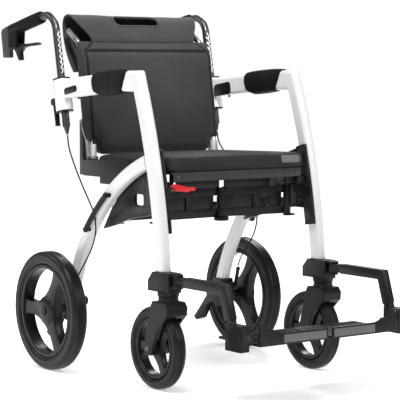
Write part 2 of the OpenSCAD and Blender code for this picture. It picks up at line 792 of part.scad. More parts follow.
// Caster fork with its stem and axle
module caster_fork() {
    neck_top = foot_block_z - 4 - face_gap;
    color("dimgray") {
        difference() {
            union() {
                side_view(side_x - fork_w / 2, fork_w) {
                    polygon([[swivel_y - 27, fork_top], [swivel_y - 40, fork_top - 14],
                        [swivel_y - 38, fork_top - 36], [caster_axle[0] - 22, caster_axle[1] - 4],
                        [caster_axle[0] + 22, caster_axle[1] + 6], [swivel_y + 36, fork_top - 10],
                        [swivel_y + 27, fork_top]]);
                    translate(caster_axle) circle(22);
                }
                translate([side_x, swivel_y, fork_top - past])
                    cylinder(r = neck_r, h = neck_top - fork_top + past);
                translate([side_x, swivel_y, fork_top - past])
                    cylinder(r = stem_r, h = post_foot_z - 8 - fork_top);
            }
            cross_pin(side_x - fork_slot / 2, side_x + fork_slot / 2, caster_axle, caster_r + 5);
        }
        cross_pin(side_x - fork_w / 2 - 3, side_x + fork_w / 2 + 3, caster_axle, caster_axle_r);
    }
}
module caster_fork_r() { on_right() caster_fork(); }
module caster_fork_l() { caster_fork(); }

// Spokes of a wheel in side view: a three-armed star with hollow sides
module spokes(r, inner_r, web, arm) {
    side_angle = 60 - asin(arm / 2 / inner_r);
    side_x_end = inner_r * cos(side_angle);
    window_at = (inner_r * inner_r - web * web) / (2 * (side_x_end - web));
    difference() {
        circle(r);
        for (k = [0 : 2]) rotate([0, 0, 60 + 120 * k])
            translate([window_at, 0]) circle(window_at - web, $fn = 180);
    }
}

// Rim with a ring, three spokes and a hub that turns on the axle
module rim(x, axle, r, ring_t, ring_w, hub_r, hub_w, spoke_t, web, arm, bore_r) {
    translate([x, axle[0], axle[1]]) rotate([90, 0, 90]) difference() {
        union() {
            rotate_extrude($fn = 144) translate([r - ring_t / 2, 0]) round_rect(ring_t, ring_w, 3);
            translate([0, 0, -spoke_t / 2]) linear_extrude(spoke_t)
                spokes(r - ring_t / 2, r - ring_t, web, arm);
            translate([0, 0, -hub_w / 2]) cylinder(r = hub_r, h = hub_w);
        }
        translate([0, 0, -hub_w]) cylinder(r = bore_r, h = 2 * hub_w);
    }
}

// Tyre of a round section with grooves round its tread, seated on its rim
module tyre(x, axle, r, inner_r, w, grooves) {
    shoulder = 11;
    translate([x, axle[0], axle[1]]) rotate([90, 0, 90]) rotate_extrude($fn = 144) difference() {
        translate([(r + inner_r) / 2, 0]) round_rect(r - inner_r, w, shoulder);
        for (k = [0 : grooves - 1])
            translate([r, (k - (grooves - 1) / 2) * 5.5]) square([4, 1.8], center = true);
    }
}

module rear_rim() {
    color("dimgray") rim(rear_x, rear_axle, rear_rim_r, 11, rear_tyre_w - 6, rear_hub_r, rear_hub_w,
        26, 36, 42, rear_axle_r + pin_gap);
}
module rear_tyre() {
    color("black") tyre(rear_x, rear_axle, rear_r, rear_rim_r + 0.05, rear_tyre_w, 3);
}
module caster_rim() {
    color("dimgray") rim(side_x, caster_axle, caster_rim_r, 9, caster_tyre_w - 6, 18, caster_tyre_w + 6,
        16, 23, 27, caster_axle_r + pin_gap);
}
module caster_tyre() {
    color("black") tyre(side_x, caster_axle, caster_r, caster_rim_r + 0.05, caster_tyre_w, 2);
}
module rear_rim_r() { on_right() rear_rim(); }
module rear_rim_l() { rear_rim(); }
module rear_tyre_r() { on_right() rear_tyre(); }
module rear_tyre_l() { rear_tyre(); }
module caster_rim_r() { on_right() caster_rim(); }
module caster_rim_l() { caster_rim(); }
module caster_tyre_r() { on_right() caster_tyre(); }
module caster_tyre_l() { caster_tyre(); }

// Axle housing at the foot of the leg, with the stub axle, its nut and the kerb pedal
module axle_housing() {
    hub_out = rear_x + rear_hub_w / 2;
    color("black") difference() {
        union() {
            side_view(side_x - housing_half_w, 2 * housing_half_w) {
                translate(rear_axle) circle(33);
                translate(brake_pivot) circle(13);
                polygon([[leg_end[0] - 22, leg_end_z], [leg_end[0] + 21, leg_end_z], rear_axle + [31, 8],
                    rear_axle + [-32, 0]]);
            }
            side_view(side_x - 10, 20) polygon([rear_axle + [20, 18], rear_axle + [52, 2],
                rear_axle + [96, -48], rear_axle + [124, -78], rear_axle + [112, -86], rear_axle + [90, -78],
                rear_axle + [60, -34], rear_axle + [20, -20]]);
            cross_pin(housing_out - past, rear_x - rear_hub_w / 2 - face_gap, rear_axle, rear_axle_r + 6);
            cross_pin(housing_out - past, hub_out + face_gap + 5, rear_axle, rear_axle_r);
            cross_pin(hub_out + face_gap, hub_out + face_gap + 5, rear_axle, nut_r);
        }
        cross_pin(side_x - past, housing_out + past, brake_pivot, brake_shaft_r + pin_gap);
    }
}
module axle_housing_r() { on_right() axle_housing(); }
module axle_housing_l() { axle_housing(); }

// Brake arm on the housing: the cable turns it and its shaft spreads the brake inside
module brake_arm() {
    x0 = housing_out + face_gap;
    half_w = [4.5, 1.2];
    color("silver") {
        cross_pin(side_x, x0 + past, brake_pivot, brake_shaft_r);
        side_view(x0, brake_arm_t) {
            translate(brake_pivot) circle(9);
            translate(brake_arm_end) circle(6);
            polygon([brake_pivot - half_w, brake_arm_end - half_w, brake_arm_end + half_w,
                brake_pivot + half_w]);
        }
    }
}
module brake_arm_r() { on_right() brake_arm(); }
module brake_arm_l() { brake_arm(); }

// Push handle tube, bent to the rear at the top, with the cable adjuster at its foot
module handle_tube() {
    color("darkgray") {
        straight_rod(side_x, handle_point(-handle_below), handle_point(handle_above + seam_lap), handle_r);
        translate([side_x, bend_centre[0], bend_centre[1]]) rotate([90, 0, 90])
            rotate([0, 0, 90 - grip_drop])
                rotate_extrude(angle = 90 + grip_drop - handle_tilt, $fn = 240)
                    translate([handle_bend_r, 0]) circle(handle_r - seam, $fn = round_fn);
        straight_rod(side_x, bend_end - seam_lap * grip_dir, grip_end - 0.2 * grip_dir, handle_r);
        at_sleeve() translate([0, 0, -handle_below - 20])
            cylinder(r1 = cable_r + 1, r2 = handle_r - 2, h = 20);
    }
}
module handle_tube_r() { on_right() handle_tube(); }
module handle_tube_l() { handle_tube(); }

// Black rubber grip with the block at its end that carries the brake lever
module grip() {
    block_low = lever_pivot[1] - 4;
    color("black") difference() {
        union() {
            straight_rod(side_x, grip_start, grip_end, grip_r);
            side_view(side_x - 14, 28) polygon([grip_end + [-34, 8], grip_end + [0, 2],
                [grip_end[0], block_low], [grip_end[0] - 40, block_low],
                [grip_end[0] - 44, grip_end[1] - 4]]);
        }
        straight_rod(side_x, grip_start - 20 * grip_dir, grip_end + 10 * grip_dir, handle_r + grip_gap);
        cross_pin(side_x - lever_half_w - face_gap, side_x + lever_half_w + face_gap, lever_pivot,
            lever_hub_r + 4);
        cross_pin(side_x - 20, side_x + 20, lever_pivot, lever_pin_r + pin_gap);
        block([side_x - lever_half_w - face_gap, grip_end[0] - 60, block_low - past],
            [side_x + lever_half_w + face_gap, lever_pivot[0], lever_pivot[1] + 26]);
    }
}
module grip_r() { on_right() grip(); }
module grip_l() { grip(); }

// Grey end hook behind the grip
module handle_hook() {
    block_low = lever_pivot[1] - 4;
    low = grip_end[1] - 76;
    color("gray") side_view(side_x - hook_w / 2, hook_w) polygon([grip_end + [3.2, 14.6], grip_end + [30, 9],
        [hook_rear - 6, grip_end[1] + 3], [hook_rear, grip_end[1] - 6], [hook_rear - 11, low],
        [grip_end[0] + 8, low], [grip_end[0] + 8, block_low - 8], [grip_end[0] + 0.15, block_low + 2],
        grip_end + [0.15, 0.2]]);
}
module handle_hook_r() { on_right() handle_hook(); }
module handle_hook_l() { handle_hook(); }

// Brake lever under the grip
module brake_lever() {
    color("dimgray") {
        side_view(side_x - lever_half_w, 2 * lever_half_w) translate(lever_pivot) {
            circle(lever_hub_r);
            polygon([[-8, 6], [6, 4], [8, -8], [-2, -16], [-20, -40], [-30, -38], [-26, -18], [-40, -6],
                [-70, -1], [-118, 1], [-126, 5], [-120, 9], [-70, 6], [-30, 6]]);
        }
        cross_pin(side_x - 13, side_x + 13, lever_pivot, lever_pin_r);
    }
}
module brake_lever_r() { on_right() brake_lever(); }
module brake_lever_l() { brake_lever(); }

// Brake cable from the adjuster, under the guide, to the brake arm
module brake_cable() { color("black") route_tube(cable_route, cable_r); }
module brake_cable_r() { on_right() brake_cable(); }
module brake_cable_l() { brake_cable(); }

// Footrest arm with its knee, hanger and the end block with the footplate's pin
module footrest_arm() {
    low = foot_arm_z - foot_arm_h / 2;
    knee = [foot_knee_y, foot_arm_z];
    hang_dir = [-sin(hanger_lean), -cos(hanger_lean)];
    hang_len = (foot_arm_z - foot_z - 20) / cos(hanger_lean);
    block_high = foot_z + 50;
    color("black") {
        difference() {
            union() {
                translate([side_x, foot_pivot_y, low]) cylinder(r = foot_knuckle_r, h = foot_arm_h);
                block([side_x - foot_arm_w / 2, foot_knee_y, low],
                    [side_x + foot_arm_w / 2, foot_pivot_y, low + foot_arm_h]);
            }
            translate([side_x, foot_pivot_y, 0]) cylinder(r = foot_pin_r + pin_gap, h = 2 * foot_arm_z);
        }
        cross_pin(side_x - foot_arm_w / 2, side_x + foot_arm_w / 2, knee, foot_arm_h / 2);
        straight_bar(side_x, knee, knee + hang_len * hang_dir, foot_arm_h, foot_arm_w, 3);
        difference() {
            block([side_x - foot_block_w / 2, foot_block_front, foot_z - 11],
                [side_x + foot_block_w / 2, foot_block_rear, block_high]);
            block([foot_hinge_x - 20, foot_hinge_y - foot_knuckle_half - face_gap, foot_z - 20],
                [foot_hinge_x + 9 + face_gap, foot_hinge_y + foot_knuckle_half + face_gap,
                    block_high + past]);
        }
        for (side = [-1, 1]) {
            near = foot_hinge_y + side * (foot_knuckle_half + face_gap);
            far = near + side * 8;
            block([foot_hinge_x, min(near, far), foot_hinge_z - 9],
                [side_x, max(near, far), foot_hinge_z + 9]);
            along_pin(min(near, far), max(near, far), foot_hinge_x, foot_hinge_z, 9);
        }
        along_pin(foot_hinge_y - foot_knuckle_half - 8, foot_hinge_y + foot_knuckle_half + 8, foot_hinge_x,
            foot_hinge_z, 4);
    }
}
module footrest_arm_r() { on_right() footrest_arm(); }
module footrest_arm_l() { footrest_arm(); }

// Footplate with its front lip and the knuckle it flips up on
module footplate() {
    outer = foot_hinge_x - 11.5;
    inner = foot_gap / 2;
    lip_t = 6;
    lip_h = 27;
    color("gray") difference() {
        union() {
            block([inner, -foot_front, foot_z], [outer, foot_depth - foot_front, foot_z + foot_plate_t]);
            translate([0, lip_t - foot_front, 0]) rotate([90, 0, 0]) linear_extrude(lip_t)
                polygon([[inner, foot_z], [outer, foot_z], [outer, foot_z + 50], [outer - 68, foot_z + lip_h],
                    [inner, foot_z + lip_h]]);
            along_pin(foot_hinge_y - foot_knuckle_half, foot_hinge_y + foot_knuckle_half, foot_hinge_x,
                foot_hinge_z, 8);
            block([outer - past, foot_hinge_y - foot_knuckle_half, foot_z + 1],
                [foot_hinge_x, foot_hinge_y + foot_knuckle_half, foot_z + 13]);
        }
        along_pin(foot_hinge_y - 40, foot_hinge_y + 40, foot_hinge_x, foot_hinge_z, 4 + pin_gap);
    }
}
module footplate_r() { on_right() footplate(); }
module footplate_l() { footplate(); }

// Point of a back tube's straight stretch at a height
function tube_point(z) = [back_y(z) + back_tube_in, z];

// Middle of a back tube's bend, and a point at an angle on the bend or beside it
tube_bend_centre = tube_point(tube_bend_z) + tube_bend_r * [cos(back_lean), -sin(back_lean)];
function tube_bend_point(a, aside) = tube_bend_centre
    + (tube_bend_r + aside) * [-cos(back_lean + a), sin(back_lean + a)];

// Path of a back tube: straight up the back, then bent to the rear inside the top flap
module back_tube_path(x, r) {
    low = tube_point(rail_top + 6);
    bend_start = tube_point(tube_bend_z);
    tip_start = tube_bend_point(tube_turn, 0);
    tip_dir = [sin(back_lean + tube_turn), cos(back_lean + tube_turn)];
    straight_rod(x, low, bend_start + seam_lap * [sin(back_lean), cos(back_lean)], r);
    translate([x, tube_bend_centre[0], tube_bend_centre[1]]) rotate([90, 0, 90])
        rotate([0, 0, 180 - back_lean - tube_turn]) rotate_extrude(angle = tube_turn, $fn = 144)
            translate([tube_bend_r, 0]) circle(r - seam, $fn = round_fn);
    straight_rod(x, tip_start - seam_lap * tip_dir, tip_start + tube_tip * tip_dir, r);
}
module back_tube() { color("gray") back_tube_path(back_tube_x, back_tube_r); }
module back_tube_r() { on_right() back_tube(); }
module back_tube_l() { back_tube(); }

// Black bracket: a block that holds the foot of a back tube, a post behind the back and the tab's ears
module back_bracket() {
    color("black") difference() {
        union() {
            block([back_foot_in, back_foot_front, rail_top], [rail_plate_in, back_foot_rear, back_foot_top]);
            block([back_foot_in, back_foot_rear - past, rail_top],
                [back_foot_in + 17, back_post_rear, back_foot_top]);
            block([back_foot_in, back_post_front, back_foot_top - past],
                [back_foot_in + 17, back_post_rear, bracket_top_z]);
            for (side = [-1, 1]) {
                x0 = back_tube_x + side * 12 - 2;
                block([x0, tab_pivot[0] - tab_r, back_foot_top - past], [x0 + 4, tab_pivot[0] + tab_r,
                    tab_pivot[1]]);
                cross_pin(x0, x0 + 4, tab_pivot, tab_r);
            }
        }
        straight_rod(back_tube_x, tube_point(rail_top + 5.9), tube_point(back_foot_top + 20),
            back_tube_r + 0.1);
        cross_pin(back_foot_in - past, rail_plate_in + past, tab_pivot, tab_pin_r + pin_gap);
    }
}
module back_bracket_r() { on_right() back_bracket(); }
module back_bracket_l() { back_bracket(); }

// Grey tab that releases the back, hinged on the bracket in front of the tube
module back_tab() {
    barrel = 10 - face_gap;
    lean_shift = 36 * tan(back_lean);
    color("gray") {
        cross_pin(back_tube_x - barrel, back_tube_x + barrel, tab_pivot, tab_r);
        cross_pin(back_tube_x - 13, back_tube_x + 13, tab_pivot, tab_pin_r);
        side_view(back_tube_x - barrel, 2 * barrel) translate(tab_pivot)
            polygon([[-2.5, 0], [2.5, 0], [2.5 + lean_shift, 36], [lean_shift - 2.5, 36]]);
        side_view(back_tube_x - 12, 24) translate(tab_pivot)
            polygon([[-2.3 + 0.2 * lean_shift, 8], [2.3 + 0.2 * lean_shift, 8], [2.3 + lean_shift, 35.8],
                [lean_shift - 2.3, 35.8]]);
    }
}
module back_tab_r() { on_right() back_tab(); }
module back_tab_l() { back_tab(); }

// Half of a link pair, from its pivot at the side to the middle hinge; the outer half holds the pin
module link_half(y, levels, outer) {
    low = levels[0][0];
    high = levels[1][1];
    mid_low = levels[0][1] + face_gap;
    mid_high = levels[1][0] - face_gap;
    web = 8;
    web_in = 14;
    bar_end = outer ? link_len : link_len - web_in;
    translate([-link_pivot_x, y, 0]) rotate([0, 0, link_angle]) {
        difference() {
            union() {
                translate([0, 0, low]) cylinder(r = link_barrel_r, h = high - low);
                for (level = levels)
                    block([0, link_offset, level[0]], [bar_end, link_offset + link_t, level[1]]);
            }
            translate([0, 0, low - past]) cylinder(r = link_pin_r + pin_gap, h = high - low + 2 * past);
        }
        if (outer) {
            for (level = levels) {
                translate([link_len, 0, level[0]]) cylinder(r = link_barrel_r, h = level[1] - level[0]);
                block([link_len - 6, 0, level[0]], [link_len, link_offset + link_t - 2, level[1]]);
            }
            translate([link_len, 0, low]) cylinder(r = link_pin_r, h = high - low);
            block([link_len / 2 - web, link_offset, low], [link_len / 2 + web, link_offset + link_t, high]);
        } else difference() {
            union() {
                for (x = [link_len - web_in, link_len / 2])
                    block([x - web, link_offset, low], [x, link_offset + link_t, high]);
                translate([link_len, 0, mid_low]) cylinder(r = link_barrel_r, h = mid_high - mid_low);
                block([link_len - web_in - 2, 0, mid_low], [link_len, link_offset + link_t - 3, mid_high]);
            }
            translate([link_len, 0, mid_low - past])
                cylinder(r = link_pin_r + pin_gap, h = mid_high - mid_low + 2 * past);
        }
    }
}
module link_front_r() { color("dimgray") link_half(-link_front, front_levels, true); }
module link_front_l() { color("dimgray") on_right() link_half(-link_front, front_levels, false); }
module link_rear_r() { color("dimgray") link_half(link_rear, rear_levels, true); }
module link_rear_l() { color("dimgray") on_right() link_half(link_rear, rear_levels, false); }

// Padded back with side pockets for the tubes and a rolled top flap with a hand slot
module back_sling() {
    half_low = back_foot_in + 1;
    half_high = back_tube_x + back_tube_r + 6;
    slot_w = 138;
    slot_h = 28;
    pocket = back_tube_r + 1.5;
    // Height, offset from the back's front line and half width, up the front
    front_line = [[556, 6, half_low - 18], [580, -1, half_low], [592, -2, half_low], [602, -2, half_high - 1],
        [664, -3, half_high], [720, -3, half_high], [760, -2.5, half_high], [790, -2, half_high],
        [815, -1, half_high], [836, 8, half_high - 2], [850, 20, half_high - 7]];
    front = [for (s = front_line) [back_y(s[0]) + s[1], s[0], s[2]]];
    // Distance behind the back's front line, height and half width: over the flap, then back inside it
    flap_front = back_y(858);
    flap_out = [[23, 858, 160], [31, 872, 172], [45, 893, 186], [63, 910, 195], [83, 920, 197],
        [101, 916, 197], [111, 902, 196], [113, 882, 195], [109, 856, 195], [97, 832, 196], [76, 806, 200],
        [54, 786, 205], [42, 776, 206]];
    flap_in = [[38, 783, 206], [49, 793, 205], [69, 813, 200], [90, 836, 196], [101, 859, 195],
        [104, 881, 195], [102, 898, 196], [96, 908, 197], [84, 911.5, 197], [68, 902, 195], [52, 887, 186],
        [39, 868, 172], [34, 861, 160]];
    flap = [for (s = concat(flap_out, flap_in)) [flap_front + s[0], s[1], s[2]]];
    // Height and half width, down the rear
    rear_line = [[850, half_high - 7], [830, half_high - 2], [800, half_high], [750, half_high],
        [720, half_high], [664, half_high], [602, half_high - 1], [592, half_low], [580, half_low],
        [558, half_low - 16]];
    rear = [for (s = rear_line) [back_y(s[0]) + back_t, s[0], s[1]]];
    profile = concat(front, flap, rear);
    // Share of the half width of each ring, and how much it is drawn in towards its middle
    stations = [[-1, 0.93], [-0.985, 0.975], [-0.94, 1], [-0.6, 1.01], [-0.2, 1.02], [0.2, 1.02],
        [0.6, 1.01], [0.94, 1], [0.985, 0.975], [1, 0.93]];
    function middle(z) = back_y(z) + back_t / 2;
    // Triangles of an end: a strip between front and rear, a joint, and a strip along the flap
    crease = len(front) - 1;
    flap_end = crease + len(flap);
    last = len(profile) - 1;
    cap = concat(
        [for (k = [0 : len(rear) - 2])
            each [[k, k + 1, last - k], [k + 1, last - k - 1, last - k]]],
        [[crease - 1, crease, flap_end + 1], [crease, crease + 1, flap_end],
            [crease, flap_end, flap_end + 1]],
        [for (k = [1 : len(flap_out) - 1])
            each [[crease + k, crease + k + 1, flap_end - k], [crease + k, flap_end - k, flap_end - k + 1]]]);
    rings = [for (s = stations)
        [for (p = profile) [s[0] * p[2], middle(p[1]) + s[1] * (p[0] - middle(p[1])), p[1]]]];
    tip_dir = [sin(back_lean + tube_turn), cos(back_lean + tube_turn)];
    color("black") difference() {
        capped_loft(rings, cap);
        translate([0, flap_front + 72, 913]) rotate([40, 0, 0]) translate([0, 0, -14]) linear_extrude(44)
            round_rect(slot_w, slot_h, 10);
        for (side = [-1, 1]) {
            straight_rod(side * back_tube_x, tube_point(rail_top), tube_point(tube_bend_z - 4),
                back_tube_r + soft_gap);
            side_view(side * back_tube_x - pocket, 2 * pocket) polygon(concat(
                [tube_point(tube_bend_z - 8) + [-pocket, 0]],
                [for (a = [0, 16, 32, 48]) tube_bend_point(a, pocket)],
                [tube_bend_point(tube_turn, pocket) + 22 * tip_dir,
                    tube_bend_point(tube_turn, -pocket) + 22 * tip_dir],
                [for (a = [48, 32, 16, 0]) tube_bend_point(a, -pocket)],
                [tube_point(tube_bend_z - 8) + [pocket, 0]]));
        }
    }
}

front_post_r();
front_post_l();
armrest_beam_r();
armrest_beam_l();
rear_leg_r();
rear_leg_l();
armrest_pad_r();
armrest_pad_l();
side_bracket_r();
side_bracket_l();
seat_rail_r();
seat_rail_l();
post_foot_r();
post_foot_l();
axle_housing_r();
axle_housing_l();
rear_rim_r();
rear_rim_l();
rear_tyre_r();
rear_tyre_l();
caster_fork_r();
caster_fork_l();
caster_rim_r();
caster_rim_l();
caster_tyre_r();
caster_tyre_l();
handle_tube_r();
handle_tube_l();
grip_r();
grip_l();
handle_hook_r();
handle_hook_l();
brake_lever_r();
brake_lever_l();
clamp_lever_r();
clamp_lever_l();
handle_collars_r();
handle_collars_l();
brake_cable_r();
brake_cable_l();
brake_arm_r();
brake_arm_l();
footrest_arm_r();
footrest_arm_l();
footplate_r();
footplate_l();
back_bracket_r();
back_bracket_l();
back_tube_r();
back_tube_l();
back_tab_r();
back_tab_l();
link_front_r();
link_front_l();
link_rear_r();
link_rear_l();
seat_cushion();
seat_board();
back_sling();
fold_latch();
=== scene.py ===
"""Rollator transport chair: finishes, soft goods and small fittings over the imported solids."""

import json
import logging
import math
from dataclasses import dataclass
from enum import Enum
from typing import Callable, Optional, Sequence, Union

import bmesh
import bpy
from mathutils import Euler, Matrix, Vector, noise
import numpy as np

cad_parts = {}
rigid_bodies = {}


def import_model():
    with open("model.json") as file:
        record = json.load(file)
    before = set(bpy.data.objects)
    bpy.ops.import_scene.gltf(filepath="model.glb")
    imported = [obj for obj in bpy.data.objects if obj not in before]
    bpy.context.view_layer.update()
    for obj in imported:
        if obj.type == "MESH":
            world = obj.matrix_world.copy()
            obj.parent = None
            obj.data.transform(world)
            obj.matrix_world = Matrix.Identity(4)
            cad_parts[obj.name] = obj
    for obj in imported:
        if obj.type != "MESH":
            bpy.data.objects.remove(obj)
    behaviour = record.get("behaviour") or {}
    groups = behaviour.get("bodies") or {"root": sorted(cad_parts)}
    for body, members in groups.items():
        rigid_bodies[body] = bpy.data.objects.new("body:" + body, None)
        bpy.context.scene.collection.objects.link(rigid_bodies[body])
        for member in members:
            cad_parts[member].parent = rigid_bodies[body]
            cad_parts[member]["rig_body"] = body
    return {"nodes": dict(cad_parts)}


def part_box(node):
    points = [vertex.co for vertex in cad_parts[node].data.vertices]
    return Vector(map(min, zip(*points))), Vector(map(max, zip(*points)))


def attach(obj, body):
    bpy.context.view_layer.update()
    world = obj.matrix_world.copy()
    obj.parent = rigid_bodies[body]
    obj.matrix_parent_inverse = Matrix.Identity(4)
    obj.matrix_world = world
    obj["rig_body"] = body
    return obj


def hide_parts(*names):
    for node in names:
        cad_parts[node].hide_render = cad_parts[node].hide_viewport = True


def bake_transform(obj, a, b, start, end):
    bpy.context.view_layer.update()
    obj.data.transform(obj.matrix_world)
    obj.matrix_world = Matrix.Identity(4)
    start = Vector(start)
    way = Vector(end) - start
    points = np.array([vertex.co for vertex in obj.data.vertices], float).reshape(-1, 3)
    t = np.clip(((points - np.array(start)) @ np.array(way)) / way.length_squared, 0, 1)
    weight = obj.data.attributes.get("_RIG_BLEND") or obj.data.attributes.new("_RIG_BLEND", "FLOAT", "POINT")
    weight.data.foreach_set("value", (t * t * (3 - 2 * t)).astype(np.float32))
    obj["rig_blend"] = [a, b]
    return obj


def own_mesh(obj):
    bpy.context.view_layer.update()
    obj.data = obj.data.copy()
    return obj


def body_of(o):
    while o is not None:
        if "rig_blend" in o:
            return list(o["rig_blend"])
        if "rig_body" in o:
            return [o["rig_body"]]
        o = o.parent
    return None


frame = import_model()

logging.basicConfig(level=logging.INFO, format="%(message)s")
LOG = logging.getLogger("chair")
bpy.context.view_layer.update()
MM = 0.001

Point = Sequence[float]
Colour = tuple[float, float, float]
Pair = tuple[float, float]
Row = tuple[float, ...]
Line = tuple[Row, ...]
Keep = Callable[[Vector, Vector], Vector]


class Side(Enum):
    """Half of the chair; the sitter's right lies at -X and the left at +X."""

    RIGHT = "r"
    LEFT = "l"

    @property
    def sign(self) -> int:
        """-1 on the right side, 1 on the left."""
        return -1 if self is Side.RIGHT else 1

    def name(self, stem: str) -> str:
        """The name of this side's piece, node or body."""
        return f"{stem}_{self.value}"

    def at(self, x: float, y: float, z: float) -> Vector:
        """A point of this side in metres, from millimetres on the left side."""
        return Vector((self.sign * x, y, z)) * MM


class Value:
    """A shader socket that takes part in Python arithmetic."""

    def __init__(self, graph: "Graph", socket: bpy.types.NodeSocket) -> None:
        """Keeps the socket and the graph that new nodes go to."""
        self.graph = graph
        self.socket = socket

    def _math(self, operation: str, *terms: "Number") -> "Value":
        """Adds one Math node."""
        return self.graph.make("ShaderNodeMath", {"operation": operation}, dict(enumerate(terms)))

    def __add__(self, other: "Number") -> "Value":
        """Sum."""
        return self._math("ADD", self, other)

    def __radd__(self, other: "Number") -> "Value":
        """Sum with a number on the left."""
        return self._math("ADD", other, self)

    def __sub__(self, other: "Number") -> "Value":
        """Difference."""
        return self._math("SUBTRACT", self, other)

    def __rsub__(self, other: "Number") -> "Value":
        """Difference with a number on the left."""
        return self._math("SUBTRACT", other, self)

    def __mul__(self, other: "Number") -> "Value":
        """Product."""
        return self._math("MULTIPLY", self, other)

    def __rmul__(self, other: "Number") -> "Value":
        """Product with a number on the left."""
        return self._math("MULTIPLY", other, self)

    def __gt__(self, other: "Number") -> "Value":
        """1 where the value is above the other, else 0."""
        return self._math("GREATER_THAN", self, other)

    def __lt__(self, other: "Number") -> "Value":
        """1 where the value is below the other, else 0."""
        return self._math("LESS_THAN", self, other)

    def sine(self) -> "Value":
        """Sine of the value in radians."""
        return self._math("SINE", self)

    def fraction(self) -> "Value":
        """Part of the value after the point."""
        return self._math("FRACT", self)

    def size(self) -> "Value":
        """Value without its sign."""
        return self._math("ABSOLUTE", self)

    def step(self, low: float, high: float) -> "Value":
        """Smooth step from 0 at low to 1 at high."""
        return self.graph.make("ShaderNodeMapRange", {"interpolation_type": "SMOOTHSTEP"},
                               {"Value": self, "From Min": low, "From Max": high})


Number = Union[Value, float]


class Graph:
    """A material's node tree."""

    def __init__(self, label: str) -> None:
        """Starts an empty material.

        Args:
            label: the material's name.
        """
        self.material = bpy.data.materials.new(label)
        self.material.use_nodes = True
        self.tree = self.material.node_tree
        self.tree.nodes.clear()

    def make(self, kind: str, settings: Optional[dict] = None, inputs: Optional[dict] = None,
             output: Union[int, str] = 0) -> Value:
        """Adds any node.

        Args:
            kind: the node's type.
            settings: its properties, set first.
            inputs: values or links of its sockets, by name or number.
            output: the socket that the result stands for.

        Returns:
            The chosen output.
        """
        node = self.tree.nodes.new(kind)
        for key, setting in (settings or {}).items():
            setattr(node, key, setting)
        for key, given in (inputs or {}).items():
            if isinstance(given, Value):
                self.tree.links.new(given.socket, node.inputs[key])
            else:
                node.inputs[key].default_value = given
        return Value(self, node.outputs[output])

    def place(self) -> Value:
        """Object coordinates."""
        return self.make("ShaderNodeTexCoord", output="Object")

    def axes(self) -> tuple[Value, Value, Value]:
        """Object coordinates one by one.

        Returns:
            X, Y and Z.
        """
        split = self.make("ShaderNodeSeparateXYZ", None, {0: self.place()})
        outs = split.socket.node.outputs
        return Value(self, outs[0]), Value(self, outs[1]), Value(self, outs[2])

    def cloud(self, scale: float, detail: float = 3.0, rough: float = 0.5,
              stretch: Point = (1.0, 1.0, 1.0)) -> Value:
        """Noise from 0 to 1.

        Args:
            scale: features in a metre.
            detail: octaves.
            rough: weight of the finer octaves.
            stretch: scale along each axis.

        Returns:
            The noise.
        """
        where = self.place()
        if tuple(stretch) != (1.0, 1.0, 1.0):
            where = self.make("ShaderNodeMapping", None, {"Vector": where, "Scale": tuple(stretch)})
        return self.make("ShaderNodeTexNoise", None,
                         {"Vector": where, "Scale": scale, "Detail": detail, "Roughness": rough})

    def tint(self, factor: Number, low: Colour, high: Colour) -> Value:
        """Colour between two colours by a factor."""
        return self.make("ShaderNodeMix", {"data_type": "RGBA"},
                         {0: factor, 6: (*low, 1.0), 7: (*high, 1.0)}, 2)

    def over(self, factor: Number, under: Value, high: Colour) -> Value:
        """Another colour laid over a varying one by a factor."""
        return self.make("ShaderNodeMix", {"data_type": "RGBA"}, {0: factor, 6: under, 7: (*high, 1.0)}, 2)

    def bump(self, height: Value, depth: float, strength: float = 1.0) -> Value:
        """Normal from a height of 0 to 1 that stands for a depth in metres."""
        return self.make("ShaderNodeBump", None, {"Height": height, "Distance": depth, "Strength": strength})

    def close(self, **sockets: Union[Value, float, tuple]) -> None:
        """Ends the tree in a Principled shader.

        Args:
            sockets: its sockets, with _ for a space.
        """
        shader = self.make("ShaderNodeBsdfPrincipled", None,
                           {key.replace("_", " "): given for key, given in sockets.items()})
        self.make_output(shader)

    def make_output(self, shader: Value) -> None:
        """Links the surface output."""
        out = self.tree.nodes.new("ShaderNodeOutputMaterial")
        self.tree.links.new(shader.socket, out.inputs["Surface"])


def shade(colour: Colour, factor: float) -> Colour:
    """The colour times a number, held below white."""
    return tuple(min(c * factor, 0.98) for c in colour)


@dataclass(frozen=True)
class Finish:
    """A surface finish, with the slot it stands for."""

    label: str
    slot: str
    colour: Colour
    roughness: float = 0.5

    def material(self) -> bpy.types.Material:
        """The finish's material, made on first use.

        Returns:
            The material.
        """
        found = bpy.data.materials.get(self.label)
        if found is None:
            graph = Graph(self.label)
            self.draw(graph)
            found = graph.material
        return found

    def draw(self, graph: Graph) -> None:
        """Draws the shader; each kind of finish has its own."""
        raise NotImplementedError


@dataclass(frozen=True)
class GlossPaint(Finish):
    """Stoved gloss paint with a faint orange peel and dust in patches."""

    def draw(self, graph: Graph) -> None:
        """Draws the paint.

        Args:
            graph: the material\'s tree.
        """
        patch = graph.cloud(9.0, 4.0)
        dust = graph.cloud(70.0, 5.0, 0.65)
        base = graph.tint(patch, shade(self.colour, 0.975), shade(self.colour, 1.02))
        base = graph.over(dust.step(0.66, 0.85) * 0.10, base, shade(self.colour, 0.72))
        peel = graph.cloud(260.0, 1.0)
        graph.close(Base_Color=base, Roughness=self.roughness + dust * 0.08 - 0.04,
                    Normal=graph.bump(peel, 0.00012, 0.35), Coat_Weight=0.35, Coat_Roughness=0.06)


